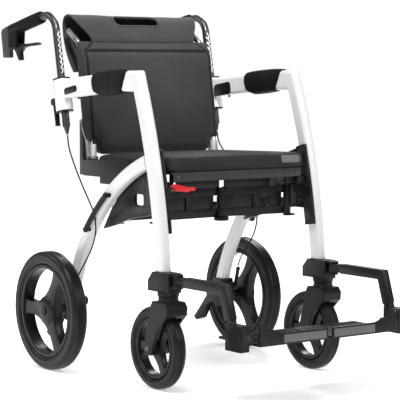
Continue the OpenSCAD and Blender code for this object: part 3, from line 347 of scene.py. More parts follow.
@dataclass(frozen=True)
class PowderCoat(Finish):
    """Powder coat on metal: a fine grain, and paler sharp edges that stand for scuffed paint and a painted
    highlight.
    """

    wear: float = 0.5

    def draw(self, graph: Graph) -> None:
        """Draws the coat.

        Args:
            graph: the material\'s tree.
        """
        patch = graph.cloud(24.0, 5.0, 0.6)
        grain = graph.cloud(1500.0, 2.0)
        edge = graph.make("ShaderNodeNewGeometry", output="Pointiness")
        # painted highlight: sharp edges, found by pointiness, turn paler; this stands for scuffed paint and
        # for the bright lines that light draws along edges
        worn_and_highlit = edge.step(0.53, 0.62) * patch.step(0.35, 0.75) * self.wear
        base = graph.tint(patch, shade(self.colour, 0.8), shade(self.colour, 1.25))
        # the paler edge colour, for scuffed paint and painted highlight
        base = graph.over(worn_and_highlit, base, tuple(c * 2.5 + 0.05 for c in self.colour))
        graph.close(Base_Color=base, Roughness=self.roughness + (patch - 0.5) * 0.16 + (grain - 0.5) * 0.1,
                    Normal=graph.bump(grain, 0.00015, 0.5), Specular_IOR_Level=0.2)


@dataclass(frozen=True)
class Moulded(Finish):
    """Moulded plastic or rubber: spark-eroded stipple and rubbed patches."""

    grain: float = 900.0
    depth: float = 0.0002
    coat: float = 0.0
    shine: float = 0.18

    def draw(self, graph: Graph) -> None:
        """Draws the plastic.

        Args:
            graph: the material\'s tree.
        """
        patch = graph.cloud(18.0, 4.0, 0.6)
        stipple = graph.cloud(self.grain, 2.0, 0.6)
        rub = graph.cloud(55.0, 6.0, 0.7).step(0.55, 0.8)
        base = graph.tint(patch, shade(self.colour, 0.82), shade(self.colour, 1.18))
        base = graph.over(rub * 0.12, base, tuple(c * 1.5 + 0.03 for c in self.colour))
        graph.close(Base_Color=base, Roughness=self.roughness + (stipple - 0.5) * 0.14 - rub * 0.08,
                    Normal=graph.bump(stipple, self.depth, 0.6), Coat_Weight=self.coat,
                    Specular_IOR_Level=self.shine)


@dataclass(frozen=True)
class TyreRubber(Finish):
    """Grey-black tyre rubber, dusty where it meets the ground, with fine moulding lines."""

    def draw(self, graph: Graph) -> None:
        """Draws the rubber.

        Args:
            graph: the material\'s tree.
        """
        dust = graph.cloud(36.0, 6.0, 0.68)
        pits = graph.cloud(700.0, 3.0, 0.6)
        base = graph.tint(dust.step(0.3, 0.75), shade(self.colour, 0.75), shade(self.colour, 1.35))
        base = graph.over((pits > 0.66) * 0.12, base, shade(self.colour, 2.2))
        graph.close(Base_Color=base, Roughness=self.roughness + (dust - 0.5) * 0.2,
                    Normal=graph.bump(pits, 0.0003, 0.6), Specular_IOR_Level=0.17)


@dataclass(frozen=True)
class Weave(Finish):
    """Woven cover cloth: two thread sets, heathered yarn, rubbed folds and painted shade along the seams."""

    thread: float = 1.9
    contrast: float = 0.35

    def draw(self, graph: Graph) -> None:
        """Draws the cloth.

        Args:
            graph: the material\'s tree.
        """
        x, y, z = graph.axes()
        rate = 2.0 * math.pi / (self.thread * MM)
        lattice = ((x * rate).sine() + (y * rate).sine() + (z * rate).sine()) * 0.1667 + 0.5
        yarn = graph.cloud(420.0, 4.0, 0.7)
        tone = graph.cloud(6.5, 5.0, 0.62)
        edge = graph.make("ShaderNodeNewGeometry", output="Pointiness")
        rubbed = edge.step(0.515, 0.56) * 0.35
        base = graph.tint(tone.step(0.25, 0.8), shade(self.colour, 0.78), shade(self.colour, 1.22))
        base = graph.over(lattice * yarn * self.contrast, base, shade(self.colour, 2.1))
        base = graph.over(rubbed, base, shade(self.colour, 1.9))
        # painted shade: the cloth is darkened along the seams' creases, by the seam mark that Seam.pull
        # writes
        seam = graph.make("ShaderNodeAttribute", {"attribute_name": "seam"}, None, "Fac")
        base = graph.over(seam.step(0.1, 0.8) * 0.9, base, shade(self.colour, 0.12))
        height = lattice * 0.75 + yarn * 0.25
        graph.close(Base_Color=base, Roughness=self.roughness + (yarn - 0.5) * 0.2,
                    Normal=graph.bump(height, 0.0004, 0.55), Sheen_Weight=0.06, Sheen_Roughness=0.45,
                    Specular_IOR_Level=0.15)


@dataclass(frozen=True)
class Foam(Finish):
    """Closed-cell foam sleeve with fine pores and a skin that is polished where hands rest."""

    def draw(self, graph: Graph) -> None:
        """Draws the foam.

        Args:
            graph: the material\'s tree.
        """
        cells = graph.make("ShaderNodeTexVoronoi", None, {"Vector": graph.place(), "Scale": 620.0},
                           "Distance")
        patch = graph.cloud(22.0, 5.0, 0.6)
        base = graph.tint(patch, shade(self.colour, 0.75), shade(self.colour, 1.3))
        base = graph.over((cells > 0.62) * 0.25, base, shade(self.colour, 0.35))
        graph.close(Base_Color=base, Roughness=self.roughness - patch.step(0.5, 0.8) * 0.15,
                    Normal=graph.bump(1.0 - cells, 0.0005, 0.5), Specular_IOR_Level=0.1)


@dataclass(frozen=True)
class Metal(Finish):
    """Bare or anodised metal, drawn along one axis."""

    grain: Point = (1.0, 1.0, 0.02)
    metallic: float = 1.0

    def draw(self, graph: Graph) -> None:
        """Draws the metal.

        Args:
            graph: the material\'s tree.
        """
        lines = graph.cloud(1400.0, 3.0, 0.6, self.grain)
        patch = graph.cloud(30.0, 4.0, 0.6)
        base = graph.tint(patch, shade(self.colour, 0.85), shade(self.colour, 1.12))
        base = graph.over(lines.step(0.5, 0.8) * 0.25, base, shade(self.colour, 1.5))
        graph.close(Base_Color=base, Roughness=self.roughness + (lines - 0.5) * 0.2,
                    Normal=graph.bump(lines, 0.00006, 0.4), Metallic=self.metallic)


@dataclass(frozen=True)
class MarkedTube(Finish):
    """Anodised handle tube with the row of pale height marks down its front and side."""

    foot: Pair = (0.2522, 0.7643)
    tilt: float = 11.0
    first: float = 0.008
    last: float = 0.120
    pitch: float = 0.0148
    zigzag_x: float = 0.2475
    swing: float = 0.011
    dots_x: float = 0.2395
    stroke: float = 0.0016
    ink: Colour = (0.62, 0.63, 0.64)

    def draw(self, graph: Graph) -> None:
        """Draws the tube and its marks.

        Args:
            graph: the material\'s tree.
        """
        x, y, z = graph.axes()
        up, back = math.cos(math.radians(self.tilt)), math.sin(math.radians(self.tilt))
        along = (y - self.foot[0]) * back + (z - self.foot[1]) * up
        across = (y - self.foot[0]) * up - (z - self.foot[1]) * back
        turn = along * (1.0 / self.pitch)
        zigzag = ((turn.fraction() - 0.5).size() * self.swing + (x.size() - self.zigzag_x)).size()
        line = (zigzag < self.stroke) * (across < 0.002)
        beat = ((turn + 0.25).fraction() - 0.5).size() < 0.16
        dots = beat * ((x.size() - self.dots_x).size() < self.stroke) * (across < 0.0)
        row = (along > self.first) * (along < self.last)
        lines = graph.cloud(1300.0, 3.0, 0.6, (1.0, 1.0, 0.03))
        patch = graph.cloud(26.0, 4.0, 0.6)
        base = graph.tint(patch, shade(self.colour, 0.8), shade(self.colour, 1.2))
        mark = (line + dots) * row
        base = graph.over(mark * patch.step(0.2, 0.45), base, self.ink)
        graph.close(Base_Color=base, Roughness=self.roughness + (lines - 0.5) * 0.16,
                    Normal=graph.bump(lines, 0.00005, 0.4), Metallic=0.75 - mark * 0.7)


WHITE_PAINT = GlossPaint("white_gloss_paint", "frame_white", (0.70, 0.705, 0.715), 0.24)
BLACK_COAT = PowderCoat("black_powder_coat", "metal_black", (0.0085, 0.0085, 0.009), 0.33)
BLACK_PLASTIC = Moulded("black_moulded_plastic", "plastic_black", (0.0080, 0.0080, 0.0085), 0.33)
RIM_PLASTIC = Moulded("dark_rim_plastic", "plastic_dark", (0.0105, 0.0106, 0.0110), 0.24)
GREY_PLASTIC = Moulded("grey_moulded_plastic", "plastic_grey", (0.044, 0.045, 0.047), 0.42, shine=0.14)
LIP_PLASTIC = Moulded("lip_plastic", "plastic_grey", (0.120, 0.123, 0.127), 0.42)
SLATE_PLASTIC = Moulded("slate_moulded_plastic", "plastic_dark", (0.034, 0.0345, 0.036), 0.36)
GRIP_RUBBER = Moulded("ribbed_grip_rubber", "grip_rubber", (0.0045, 0.0045, 0.0046), 0.50,
                      grain=1300.0, depth=0.0003, shine=0.08)
TYRE = TyreRubber("dusty_tyre_rubber", "tyre_rubber", (0.0125, 0.0125, 0.0130), 0.30)
COVER = Weave("black_cover_cloth", "fabric_black", (0.0195, 0.0196, 0.0204), 0.74)
BINDING = Weave("binding_tape", "fabric_black", (0.0130, 0.0130, 0.0136), 0.58, thread=1.2, contrast=0.2)
PATCH = Weave("sewn_patch", "fabric_black", (0.130, 0.130, 0.134), 0.42, thread=1.1, contrast=0.2)
PAD_FOAM = Foam("armrest_foam", "foam_black", (0.0065, 0.0065, 0.0068), 0.62)
TUBE = MarkedTube("marked_handle_tube", "handle_metal", (0.052, 0.053, 0.056), 0.30)
BACK_METAL = Metal("grey_back_metal", "back_metal", (0.30, 0.305, 0.315), 0.36)
STEEL = Metal("brushed_steel", "steel", (0.55, 0.55, 0.56), 0.28, grain=(1.0, 0.05, 1.0))
DARK_STEEL = Metal("dark_bolt_steel", "steel", (0.10, 0.10, 0.105), 0.32, grain=(1.0, 0.1, 1.0))
CABLE_SHEATH = Moulded("cable_sheath", "cable_black", (0.008, 0.008, 0.008), 0.38,
                       grain=1500.0, depth=0.0001)
LATCH_RED = Moulded("red_latch_plastic", "latch_red", (0.62, 0.012, 0.016), 0.30, grain=1200.0,
                    depth=0.0001, coat=0.4)


def node_body(node: str) -> str:
    """The body that a CAD node rides on."""
    return body_of(frame["nodes"][node])[0]


def paint(node: str, finish: Finish) -> None:
    """Gives a CAD node that stays in view its finish.

    Args:
        node: the CAD node.
        finish: its finish.
    """
    data = frame["nodes"][node].data
    data.materials.clear()
    data.materials.append(finish.material())
    LOG.info("painted %s with %s", node, finish.label)


def put(mesh: bpy.types.Mesh, name: str, finish: Finish, body: Optional[str], replaces: Sequence[str] = (),
        sharp: float = 40.0) -> bpy.types.Object:
    """Turns a mesh into a piece of the chair.

    Args:
        mesh: the finished mesh, in place.
        name: the piece's name.
        finish: its finish.
        body: the CAD body it rides on, or none if it is blended later.
        replaces: CAD nodes that it stands for.
        sharp: angle above which an edge is shown sharp, in degrees.

    Returns:
        The piece.
    """
    mesh.name = name
    mesh.materials.clear()
    mesh.materials.append(finish.material())
    mesh.shade_smooth()
    mesh.set_sharp_from_angle(angle=math.radians(sharp))
    piece = loose(mesh, name)
    if body is not None:
        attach(piece, body)
    if replaces:
        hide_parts(*replaces)
    LOG.info("made %s", name)
    return piece


def baked(piece: bpy.types.Object) -> bpy.types.Mesh:
    """A new mesh of the piece with its modifiers applied.

    Args:
        piece: the object, which stays as it is.

    Returns:
        The mesh.
    """
    graph = bpy.context.evaluated_depsgraph_get()
    graph.update()
    return bpy.data.meshes.new_from_object(piece.evaluated_get(graph), depsgraph=graph)


def loose(data: bpy.types.ID, name: str) -> bpy.types.Object:
    """A new object in the scene that holds the data.

    Args:
        data: a mesh, curve, light or camera.
        name: the object's name.

    Returns:
        The object.
    """
    made = bpy.data.objects.new(name, data)
    bpy.context.scene.collection.objects.link(made)
    return made


def used_up(helper: bpy.types.Object) -> bpy.types.Mesh:
    """The helper's mesh with its modifiers applied; the helper is removed.

    Args:
        helper: the object.

    Returns:
        The mesh.
    """
    mesh = baked(helper)
    bpy.data.objects.remove(helper)
    return mesh


def gridded(mesh: bpy.types.Mesh, voxel: float) -> bpy.types.Object:
    """A helper object of the mesh as one even skin, on a grid in millimetres.

    Args:
        mesh: the start, which may be several closed shells.
        voxel: size of the grid.

    Returns:
        The helper.
    """
    helper = loose(mesh, "gridded")
    grid = helper.modifiers.new("grid", "REMESH")
    grid.mode = "VOXEL"
    grid.voxel_size = voxel * MM
    return helper


def look(place: Point, aim: Point) -> Euler:
    """Turn of a camera or lamp that looks from one point at another."""
    return (Vector(aim) - Vector(place)).to_track_quat("-Z", "Y").to_euler()


def copy_of(node: str) -> bpy.types.Mesh:
    """A merged copy of a CAD node's mesh, with flat faces joined.

    Args:
        node: the CAD node.

    Returns:
        The copy.
    """
    work = bmesh.new()
    work.from_mesh(frame["nodes"][node].data)
    bmesh.ops.remove_doubles(work, verts=work.verts, dist=2e-6)
    bmesh.ops.dissolve_limit(work, angle_limit=math.radians(0.4), verts=work.verts, edges=work.edges)
    mesh = bpy.data.meshes.new(f"{node}_copy")
    work.to_mesh(mesh)
    work.free()
    return mesh


def soften(node: str, finish: Finish, edge: float = 0.8, segments: int = 2) -> bpy.types.Object:
    """Replaces a hard CAD node by a copy with rounded edges.

    Args:
        node: the CAD node.
        finish: the finish of the copy.
        edge: radius of the edges in millimetres.
        segments: steps in each rounded edge.

    Returns:
        The piece.
    """
    piece = put(copy_of(node), f"{node}_shell", finish, node_body(node), [node], sharp=60.0)
    for line in piece.data.edges:
        line.use_edge_sharp = False
    rounding = piece.modifiers.new("edges", "BEVEL")
    rounding.width = edge * MM
    rounding.segments = segments
    rounding.limit_method = "ANGLE"
    rounding.angle_limit = math.radians(32.0)
    rounding.use_clamp_overlap = True
    rounding.harden_normals = True
    return piece


def remould(node: str, finish: Finish, voxel: float = 1.7, passes: int = 7) -> bpy.types.Object:
    """Replaces a hard CAD node by a copy with the soft edges of a formed tube.

    Args:
        node: the CAD node.
        finish: the finish of the copy.
        voxel: grid of the copy, in millimetres.
        passes: smoothing passes.

    Returns:
        The piece.
    """
    skin = formed(copy_of(node), voxel, passes)
    return put(skin, f"{node}_shell", finish, node_body(node), [node], sharp=180.0)


def formed(mesh: bpy.types.Mesh, voxel: float, passes: int) -> bpy.types.Mesh:
    """The mesh as one skin with soft edges.

    Args:
        mesh: the start, which may be several closed shells.
        voxel: grid of the skin, in millimetres.
        passes: smoothing passes.

    Returns:
        The skin.
    """
    start = gridded(mesh, voxel)
    even = start.modifiers.new("even", "SMOOTH")
    even.factor = 0.5
    even.iterations = passes
    return used_up(start)


class Shaper:
    """A bmesh under way, with the operators that the fittings share."""

    def __init__(self) -> None:
        """Starts empty."""
        self.bm = bmesh.new()

    def round_edges(self, verts: Sequence[bmesh.types.BMVert], edge: float, segments: int = 2,
                    above: float = 30.0) -> None:
        """Bevels the sharp edges among some vertices.

        Args:
            verts: the vertices.
            edge: width in metres.
            segments: steps.
            above: smallest angle of an edge that is bevelled, in degrees.
        """
        chosen = set(verts)
        lines = [e for e in self.bm.edges if e.verts[0] in chosen and e.verts[1] in chosen
                 and (not e.is_manifold or e.calc_face_angle() > math.radians(above))]
        bmesh.ops.bevel(self.bm, geom=lines, offset=edge, offset_type="OFFSET", segments=segments,
                        profile=0.5, affect="EDGES", material=-1, clamp_overlap=True)

    def block(self, start: Point, end: Point, edge: float) -> None:
        """Adds a box.

        Args:
            start: one corner.
            end: the corner across from it.
            edge: radius of its edges, in metres.
        """
        low, high = (Vector([pick(pair) for pair in zip(start, end)]) for pick in (min, max))
        where = Matrix.Translation((low + high) / 2) @ Matrix.Diagonal((*(high - low), 1.0))
        self.round_edges(bmesh.ops.create_cube(self.bm, size=1.0, matrix=where)["verts"], edge)

    def rod(self, start: Point, end: Point, radius: float, far: Optional[float] = None, segments: int = 28,
            edge: float = 0.0) -> None:
        """Adds a rod or cone between two points.

        Args:
            start: middle of one end.
            end: middle of the other.
            radius: radius in metres.
            far: radius at the end, if it differs.
            segments: sides.
            edge: radius of the end edges.
        """
        start, end = Vector(start), Vector(end)
        span = end - start
        where = Matrix.Translation((start + end) / 2) @ span.to_track_quat("Z", "Y").to_matrix().to_4x4()
        made = bmesh.ops.create_cone(self.bm, cap_ends=True, cap_tris=False, segments=segments,
                                     radius1=radius, radius2=radius if far is None else far,
                                     depth=span.length, matrix=where)
        if edge:
            self.round_edges(made["verts"], edge, 2, 50.0)

    def lathe(self, outline: Sequence[Pair], centre: Point, axis: Point, segments: int = 40) -> None:
        """Spins an outline round an axis.

        Args:
            outline: distance along the axis and radius of each point, in metres.
            centre: point of the axis that distances start from.
            axis: direction of the axis.
            segments: steps of the turn.
        """
        axis = Vector(axis).normalized()
        out = axis.orthogonal().normalized()
        verts = [self.bm.verts.new(Vector(centre) + axis * a + out * r) for a, r in outline]
        edges = [self.bm.edges.new(pair) for pair in zip(verts, verts[1:])]
        bmesh.ops.spin(self.bm, geom=verts + edges, cent=Vector(centre), axis=axis, angle=2 * math.pi,
                       steps=segments, use_merge=True)
        bmesh.ops.remove_doubles(self.bm, verts=self.bm.verts, dist=1e-6)

    def plate(self, outline: Sequence[Point], depth: Point, edge: float = 0.0, segments: int = 2) -> None:
        """Extrudes a flat outline.

        Args:
            outline: its corners in order.
            depth: the way it is extruded.
            edge: radius of its edges.
            segments: steps of an edge.
        """
        verts = [self.bm.verts.new(Vector(p)) for p in outline]
        face = self.bm.faces.new(verts)
        made = bmesh.ops.extrude_face_region(self.bm, geom=[face])["geom"]
        top = [g for g in made if isinstance(g, bmesh.types.BMVert)]
        bmesh.ops.translate(self.bm, vec=Vector(depth), verts=top)
        if edge:
            bmesh.ops.recalc_face_normals(self.bm, faces=self.bm.faces)
            self.round_edges(verts + top, edge, segments)

    def mesh(self, name: str) -> bpy.types.Mesh:
        """Ends the work: normals outwards, as a mesh.

        Args:
            name: the mesh's name.

        Returns:
            The mesh.
        """
        bmesh.ops.recalc_face_normals(self.bm, faces=self.bm.faces)
        made = bpy.data.meshes.new(name)
        self.bm.to_mesh(made)
        self.bm.free()
        return made

    def put(self, name: str, finish: Finish, body: str, replaces: Sequence[str] = (),
            sharp: float = 40.0) -> bpy.types.Object:
        """Ends the work as a piece of the chair."""
        return put(self.mesh(name), name, finish, body, replaces, sharp)


def carve(start: bpy.types.Object, tool: bpy.types.Mesh) -> bpy.types.Mesh:
    """Cuts a tool out of a helper object, which is used up.

    Args:
        start: the helper object.
        tool: the mesh to cut away.

    Returns:
        What is left.
    """
    block = loose(tool, "cutter")
    cut = start.modifiers.new("cut", "BOOLEAN")
    cut.operation = "DIFFERENCE"
    cut.solver = "EXACT"
    cut.object = block
    left = used_up(start)
    bpy.data.objects.remove(block)
    return left


def rounded(corners: Sequence[Vector], radius: float, steps: int = 5) -> list[Vector]:
    """The outline with its corners rounded off.

    Args:
        corners: corner points, in order.
        radius: length that each rounding takes from a side, in millimetres.
        steps: points in each rounding.

    Returns:
        The points of the rounded outline.
    """
    outline = []
    for k, corner in enumerate(corners):
        before, after = corners[k - 1] - corner, corners[(k + 1) % len(corners)] - corner
        start, end = corner + before.normalized() * radius * MM, corner + after.normalized() * radius * MM
        for step in range(steps + 1):
            share = step / steps
            outline.append(start * (1 - share) ** 2 + corner * 2 * share * (1 - share) + end * share ** 2)
    return outline


def smooth_path(points: Sequence[Point], steps: int = 4) -> list[Vector]:
    """Points of a smooth curve through given ones.

    Args:
        points: points on the curve.
        steps: stretches between two of them.

    Returns:
        The finer points, ends included.
    """
    p = [Vector(q) for q in points]
    p = [2 * p[0] - p[1], *p, 2 * p[-1] - p[-2]]
    fine = []
    for a, b, c, d in zip(p, p[1:], p[2:], p[3:]):
        for k in range(steps):
            t = k / steps
            fine.append(0.5 * (2 * b + (c - a) * t + (2 * a - 5 * b + 4 * c - d) * t * t
                               + (3 * b - a - 3 * c + d) * t ** 3))
    return [*fine, p[-2]]


def tube_mesh(points: Sequence[Vector], radius: float, name: str, closed: bool = False) -> bpy.types.Mesh:
    """A round tube along points.

    Args:
        points: middle line, in metres.
        radius: radius of the tube.
        name: the mesh's name.
        closed: whether the ends meet.

    Returns:
        The mesh.
    """
    line = bpy.data.curves.new(name, "CURVE")
    line.dimensions = "3D"
    line.bevel_depth = radius
    line.bevel_resolution = 3
    line.use_fill_caps = not closed
    spline = line.splines.new("POLY")
    spline.points.add(len(points) - 1)
    spline.points.foreach_set("co", [c for p in points for c in (*p, 1.0)])
    spline.use_cyclic_u = closed
    mesh = used_up(loose(line, f"{name}_line"))
    bpy.data.curves.remove(line)
    return mesh


@dataclass
class Padding:
    """Makes a padded form from a plain one with Blender's cloth."""

    voxel: float = 5.0
    pressure: float = 4.0
    cap: float = 6.0
    frames: int = 20

    def fill(self, plain: bpy.types.Mesh, keep: Optional[Keep] = None) -> bpy.types.Mesh:
        """Inflates a closed mesh.

        Args:
            plain: the form before it is filled.
            keep: corrects a moved point, given its rest point and the moved one.

        Returns:
            The filled mesh, with one subdivision.
        """
        work = loose(used_up(gridded(plain, self.voxel)), "padding_work")
        rest = [v.co.copy() for v in work.data.vertices]
        cloth = work.modifiers.new("fill", "CLOTH")
        cloth.settings.use_pressure = True
        cloth.settings.uniform_pressure_force = self.pressure
        cloth.settings.effector_weights.gravity = 0.0
        cloth.settings.tension_stiffness = 25.0
        cloth.settings.compression_stiffness = 25.0
        cloth.settings.bending_stiffness = 1.0
        cloth.settings.quality = 4
        cloth.collision_settings.use_collision = False
        scene = bpy.context.scene
        for number in range(1, self.frames + 1):
            scene.frame_set(number)
        moved = baked(work)
        for v, start, now in zip(work.data.vertices, rest, [m.co.copy() for m in moved.vertices]):
            way = now - start
            if way.length > self.cap * MM:
                way *= self.cap * MM / way.length
            v.co = keep(start, start + way) if keep else start + way
        work.modifiers.clear()
        bpy.data.meshes.remove(moved)
        scene.frame_set(1)
        fine = work.modifiers.new("fine", "SUBSURF")
        fine.levels = fine.render_levels = 1
        return used_up(work)


@dataclass(frozen=True)
class Seam:
    """A sewn line on a padded piece, with painted shade along its crease."""

    points: Line
    depth: float = 3.0
    width: float = 3.5
    through: float = 0.0
    shadow: float = 1.0

    def pull(self, mesh: bpy.types.Mesh) -> None:
        """Pulls the mesh in along the line and marks it for the cloth's shader, which paints shade there.

        Args:
            mesh: the padded mesh, changed in place.
        """
        line = [Vector(p) * MM for p in self.points]
        reach = 3.0 * self.width * MM
        slack = (reach, reach + self.through * MM, reach)
        low = [min(p[k] for p in line) - slack[k] for k in range(3)]
        high = [max(p[k] for p in line) + slack[k] for k in range(3)]
        mark = mesh.attributes.get("seam") or mesh.attributes.new("seam", "FLOAT", "POINT")
        for v in mesh.vertices:
            co = v.co
            if not all(low[k] <= co[k] <= high[k] for k in range(3)):
                continue
            near = min(distance_to(co, a, b, self.through * MM) for a, b in zip(line, line[1:]))
            if near < reach:
                share = math.exp(-(near / (self.width * MM)) ** 2)
                v.co = co - v.normal * self.depth * MM * share
                # the mark is painted shade: the cloth is darkened along the crease, as strong as the shadow
                # field
                mark.data[v.index].value = max(mark.data[v.index].value, share * self.shadow)


def distance_to(p: Vector, a: Vector, b: Vector, through: float = 0.0) -> float:
    """Distance of a point from a stretch between two points.

    Args:
        p: the point.
        a: start of the stretch.
        b: end of the stretch.
        through: depth in Y over which no distance is counted.

    Returns:
        The distance.
    """
    span = b - a
    share = max(0.0, min(1.0, (p - a).dot(span) / max(span.length_squared, 1e-12)))
    gap = p - a - span * share
    gap.y = math.copysign(max(0.0, abs(gap.y) - through), gap.y)
    return gap.length


@dataclass
class Studio:
    """Camera, light and floor of the photograph."""

    position: Point = (-2.59149, -3.61992, 0.79070)
    target: Point = (0.0252, 0.0, 0.4409)
    lens: float = 153.51
    middle: Point = (0.0, 0.0, 0.5)

    def build(self) -> None:
        """Sets the camera, then the lights and the floor."""
        scene = bpy.context.scene
        scene.view_settings.view_transform = "Standard"
        data = bpy.data.cameras.new("camera")
        data.lens = self.lens
        data.sensor_width = 36.0
        data.clip_end = 60.0
        scene.camera = loose(data, "camera")
        scene.camera.location = self.position
        scene.camera.rotation_euler = look(self.position, self.target)
        self.sky()
        self.lamp("key", (-1.1, -1.0, 4.1), power=118.0, size=1.6)
        self.lamp("front", (1.8, -3.4, 2.5), power=40.0, size=1.6)
        self.lamp("fill", (-3.6, -0.6, 2.0), power=24.0, size=2.0)
        self.spot("crown", (-0.9, -2.2, 3.0), (0.0, 0.26, 1.0), power=1600.0, cone=12.6)
        self.lamp("rim", (2.4, 2.0, 2.8), power=62.0, size=1.4)
        self.lamp("back", (-2.4, 2.4, 2.6), power=30.0, size=1.2)
        self.floor()
        LOG.info("studio ready")

    def sky(self) -> None:
        """Sets a white backdrop behind a softer dome of light."""
        world = bpy.data.worlds.new("studio")
        world.use_nodes = True
        tree = world.node_tree
        dome = tree.nodes["Background"]
        backdrop = tree.nodes.new("ShaderNodeBackground")
        mix = tree.nodes.new("ShaderNodeMixShader")
        seen = tree.nodes.new("ShaderNodeLightPath")
        for background, strength in ((dome, 0.34), (backdrop, 1.0)):
            background.inputs["Color"].default_value = (1.0, 1.0, 1.0, 1.0)
            background.inputs["Strength"].default_value = strength
        tree.links.new(seen.outputs["Is Camera Ray"], mix.inputs[0])
        tree.links.new(dome.outputs[0], mix.inputs[1])
        tree.links.new(backdrop.outputs[0], mix.inputs[2])
        tree.links.new(mix.outputs[0], tree.nodes["World Output"].inputs["Surface"])
        bpy.context.scene.world = world

    def lamp(self, name: str, place: Point, power: float, size: float) -> None:
        """Adds a soft lamp that looks at the chair.

        Args:
            name: the lamp's name.
            place: where it hangs.
            power: watts.
            size: side of its panel.
        """
        data = bpy.data.lights.new(name, "AREA")
        data.energy = power
        data.size = size
        lamp = loose(data, name)
        lamp.location = place
        lamp.rotation_euler = look(place, self.middle)

    def spot(self, name: str, place: Point, aim: Point, power: float, cone: float) -> None:
        """Adds a soft-edged spot lamp.

        Args:
            name: the lamp's name.
            place: where it hangs.
            aim: the point it looks at.
            power: watts of a bare lamp as bright.
            cone: full angle of its beam, in degrees.
        """
        data = bpy.data.lights.new(name, "SPOT")
        data.energy = power
        data.spot_size = math.radians(cone)
        data.spot_blend = 1.0
        data.shadow_soft_size = 0.25
        lamp = loose(data, name)
        lamp.location = place
        lamp.rotation_euler = look(place, aim)

    def floor(self) -> None:
        """Adds the pale floor, lit from within far out where the lamps don't reach."""
        shaper = Shaper()
        bmesh.ops.create_grid(shaper.bm, x_segments=4, y_segments=4, size=14.0)
        mesh = shaper.mesh("floor")
        graph = Graph("pale_floor")
        tone = graph.cloud(0.8, 3.0)
        x, y, _ = graph.axes()
        far = (x * x + y * y).step(0.5, 9.0)
        graph.close(Base_Color=graph.tint(tone, (0.93, 0.93, 0.93), (0.96, 0.96, 0.96)), Roughness=0.8,
                    Specular_IOR_Level=0.1, Emission_Strength=0.74,
                    Emission_Color=graph.tint(far, (0.55, 0.55, 0.55), (1.0, 1.0, 1.0)))
        mesh.materials.append(graph.material)
        floor = loose(mesh, "floor")


@dataclass
class BrakeCable:
    """Brake cable from the foot of a push handle to the arm at the rear wheel."""

    side: Side
    radius: float = 2.0
    route: Line = (
        (244.5, 222.35, 610.69), (245.5, 214, 580), (250, 190, 550), (256, 158, 518), (260, 125, 484),
        (260.8, 95, 450), (260.8, 72, 422), (260.8, 62, 398), (260.8, 60, 372), (260.8, 68, 345),
        (260.8, 84, 318), (260.8, 106, 292), (260.8, 128, 268), (262.8, 143, 248), (265.9, 152, 237))

    def build(self) -> None:
        points = smooth_path([self.side.at(*p) for p in self.route], steps=4)
        name = self.side.name("brake_cable_sheath")
        piece = put(tube_mesh(points, self.radius * MM, name), name, CABLE_SHEATH, None,
                    [self.side.name("brake_cable")], sharp=60.0)
        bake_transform(piece, self.side.name("frame"), self.side.name("handle"),
                 tuple(self.side.at(260.8, 72, 422)), tuple(self.side.at(245, 216, 596)))
        length = sum((b - a).length for a, b in zip(points, points[1:]))
        tuple(points[0])
        [tuple(p) for p in points]


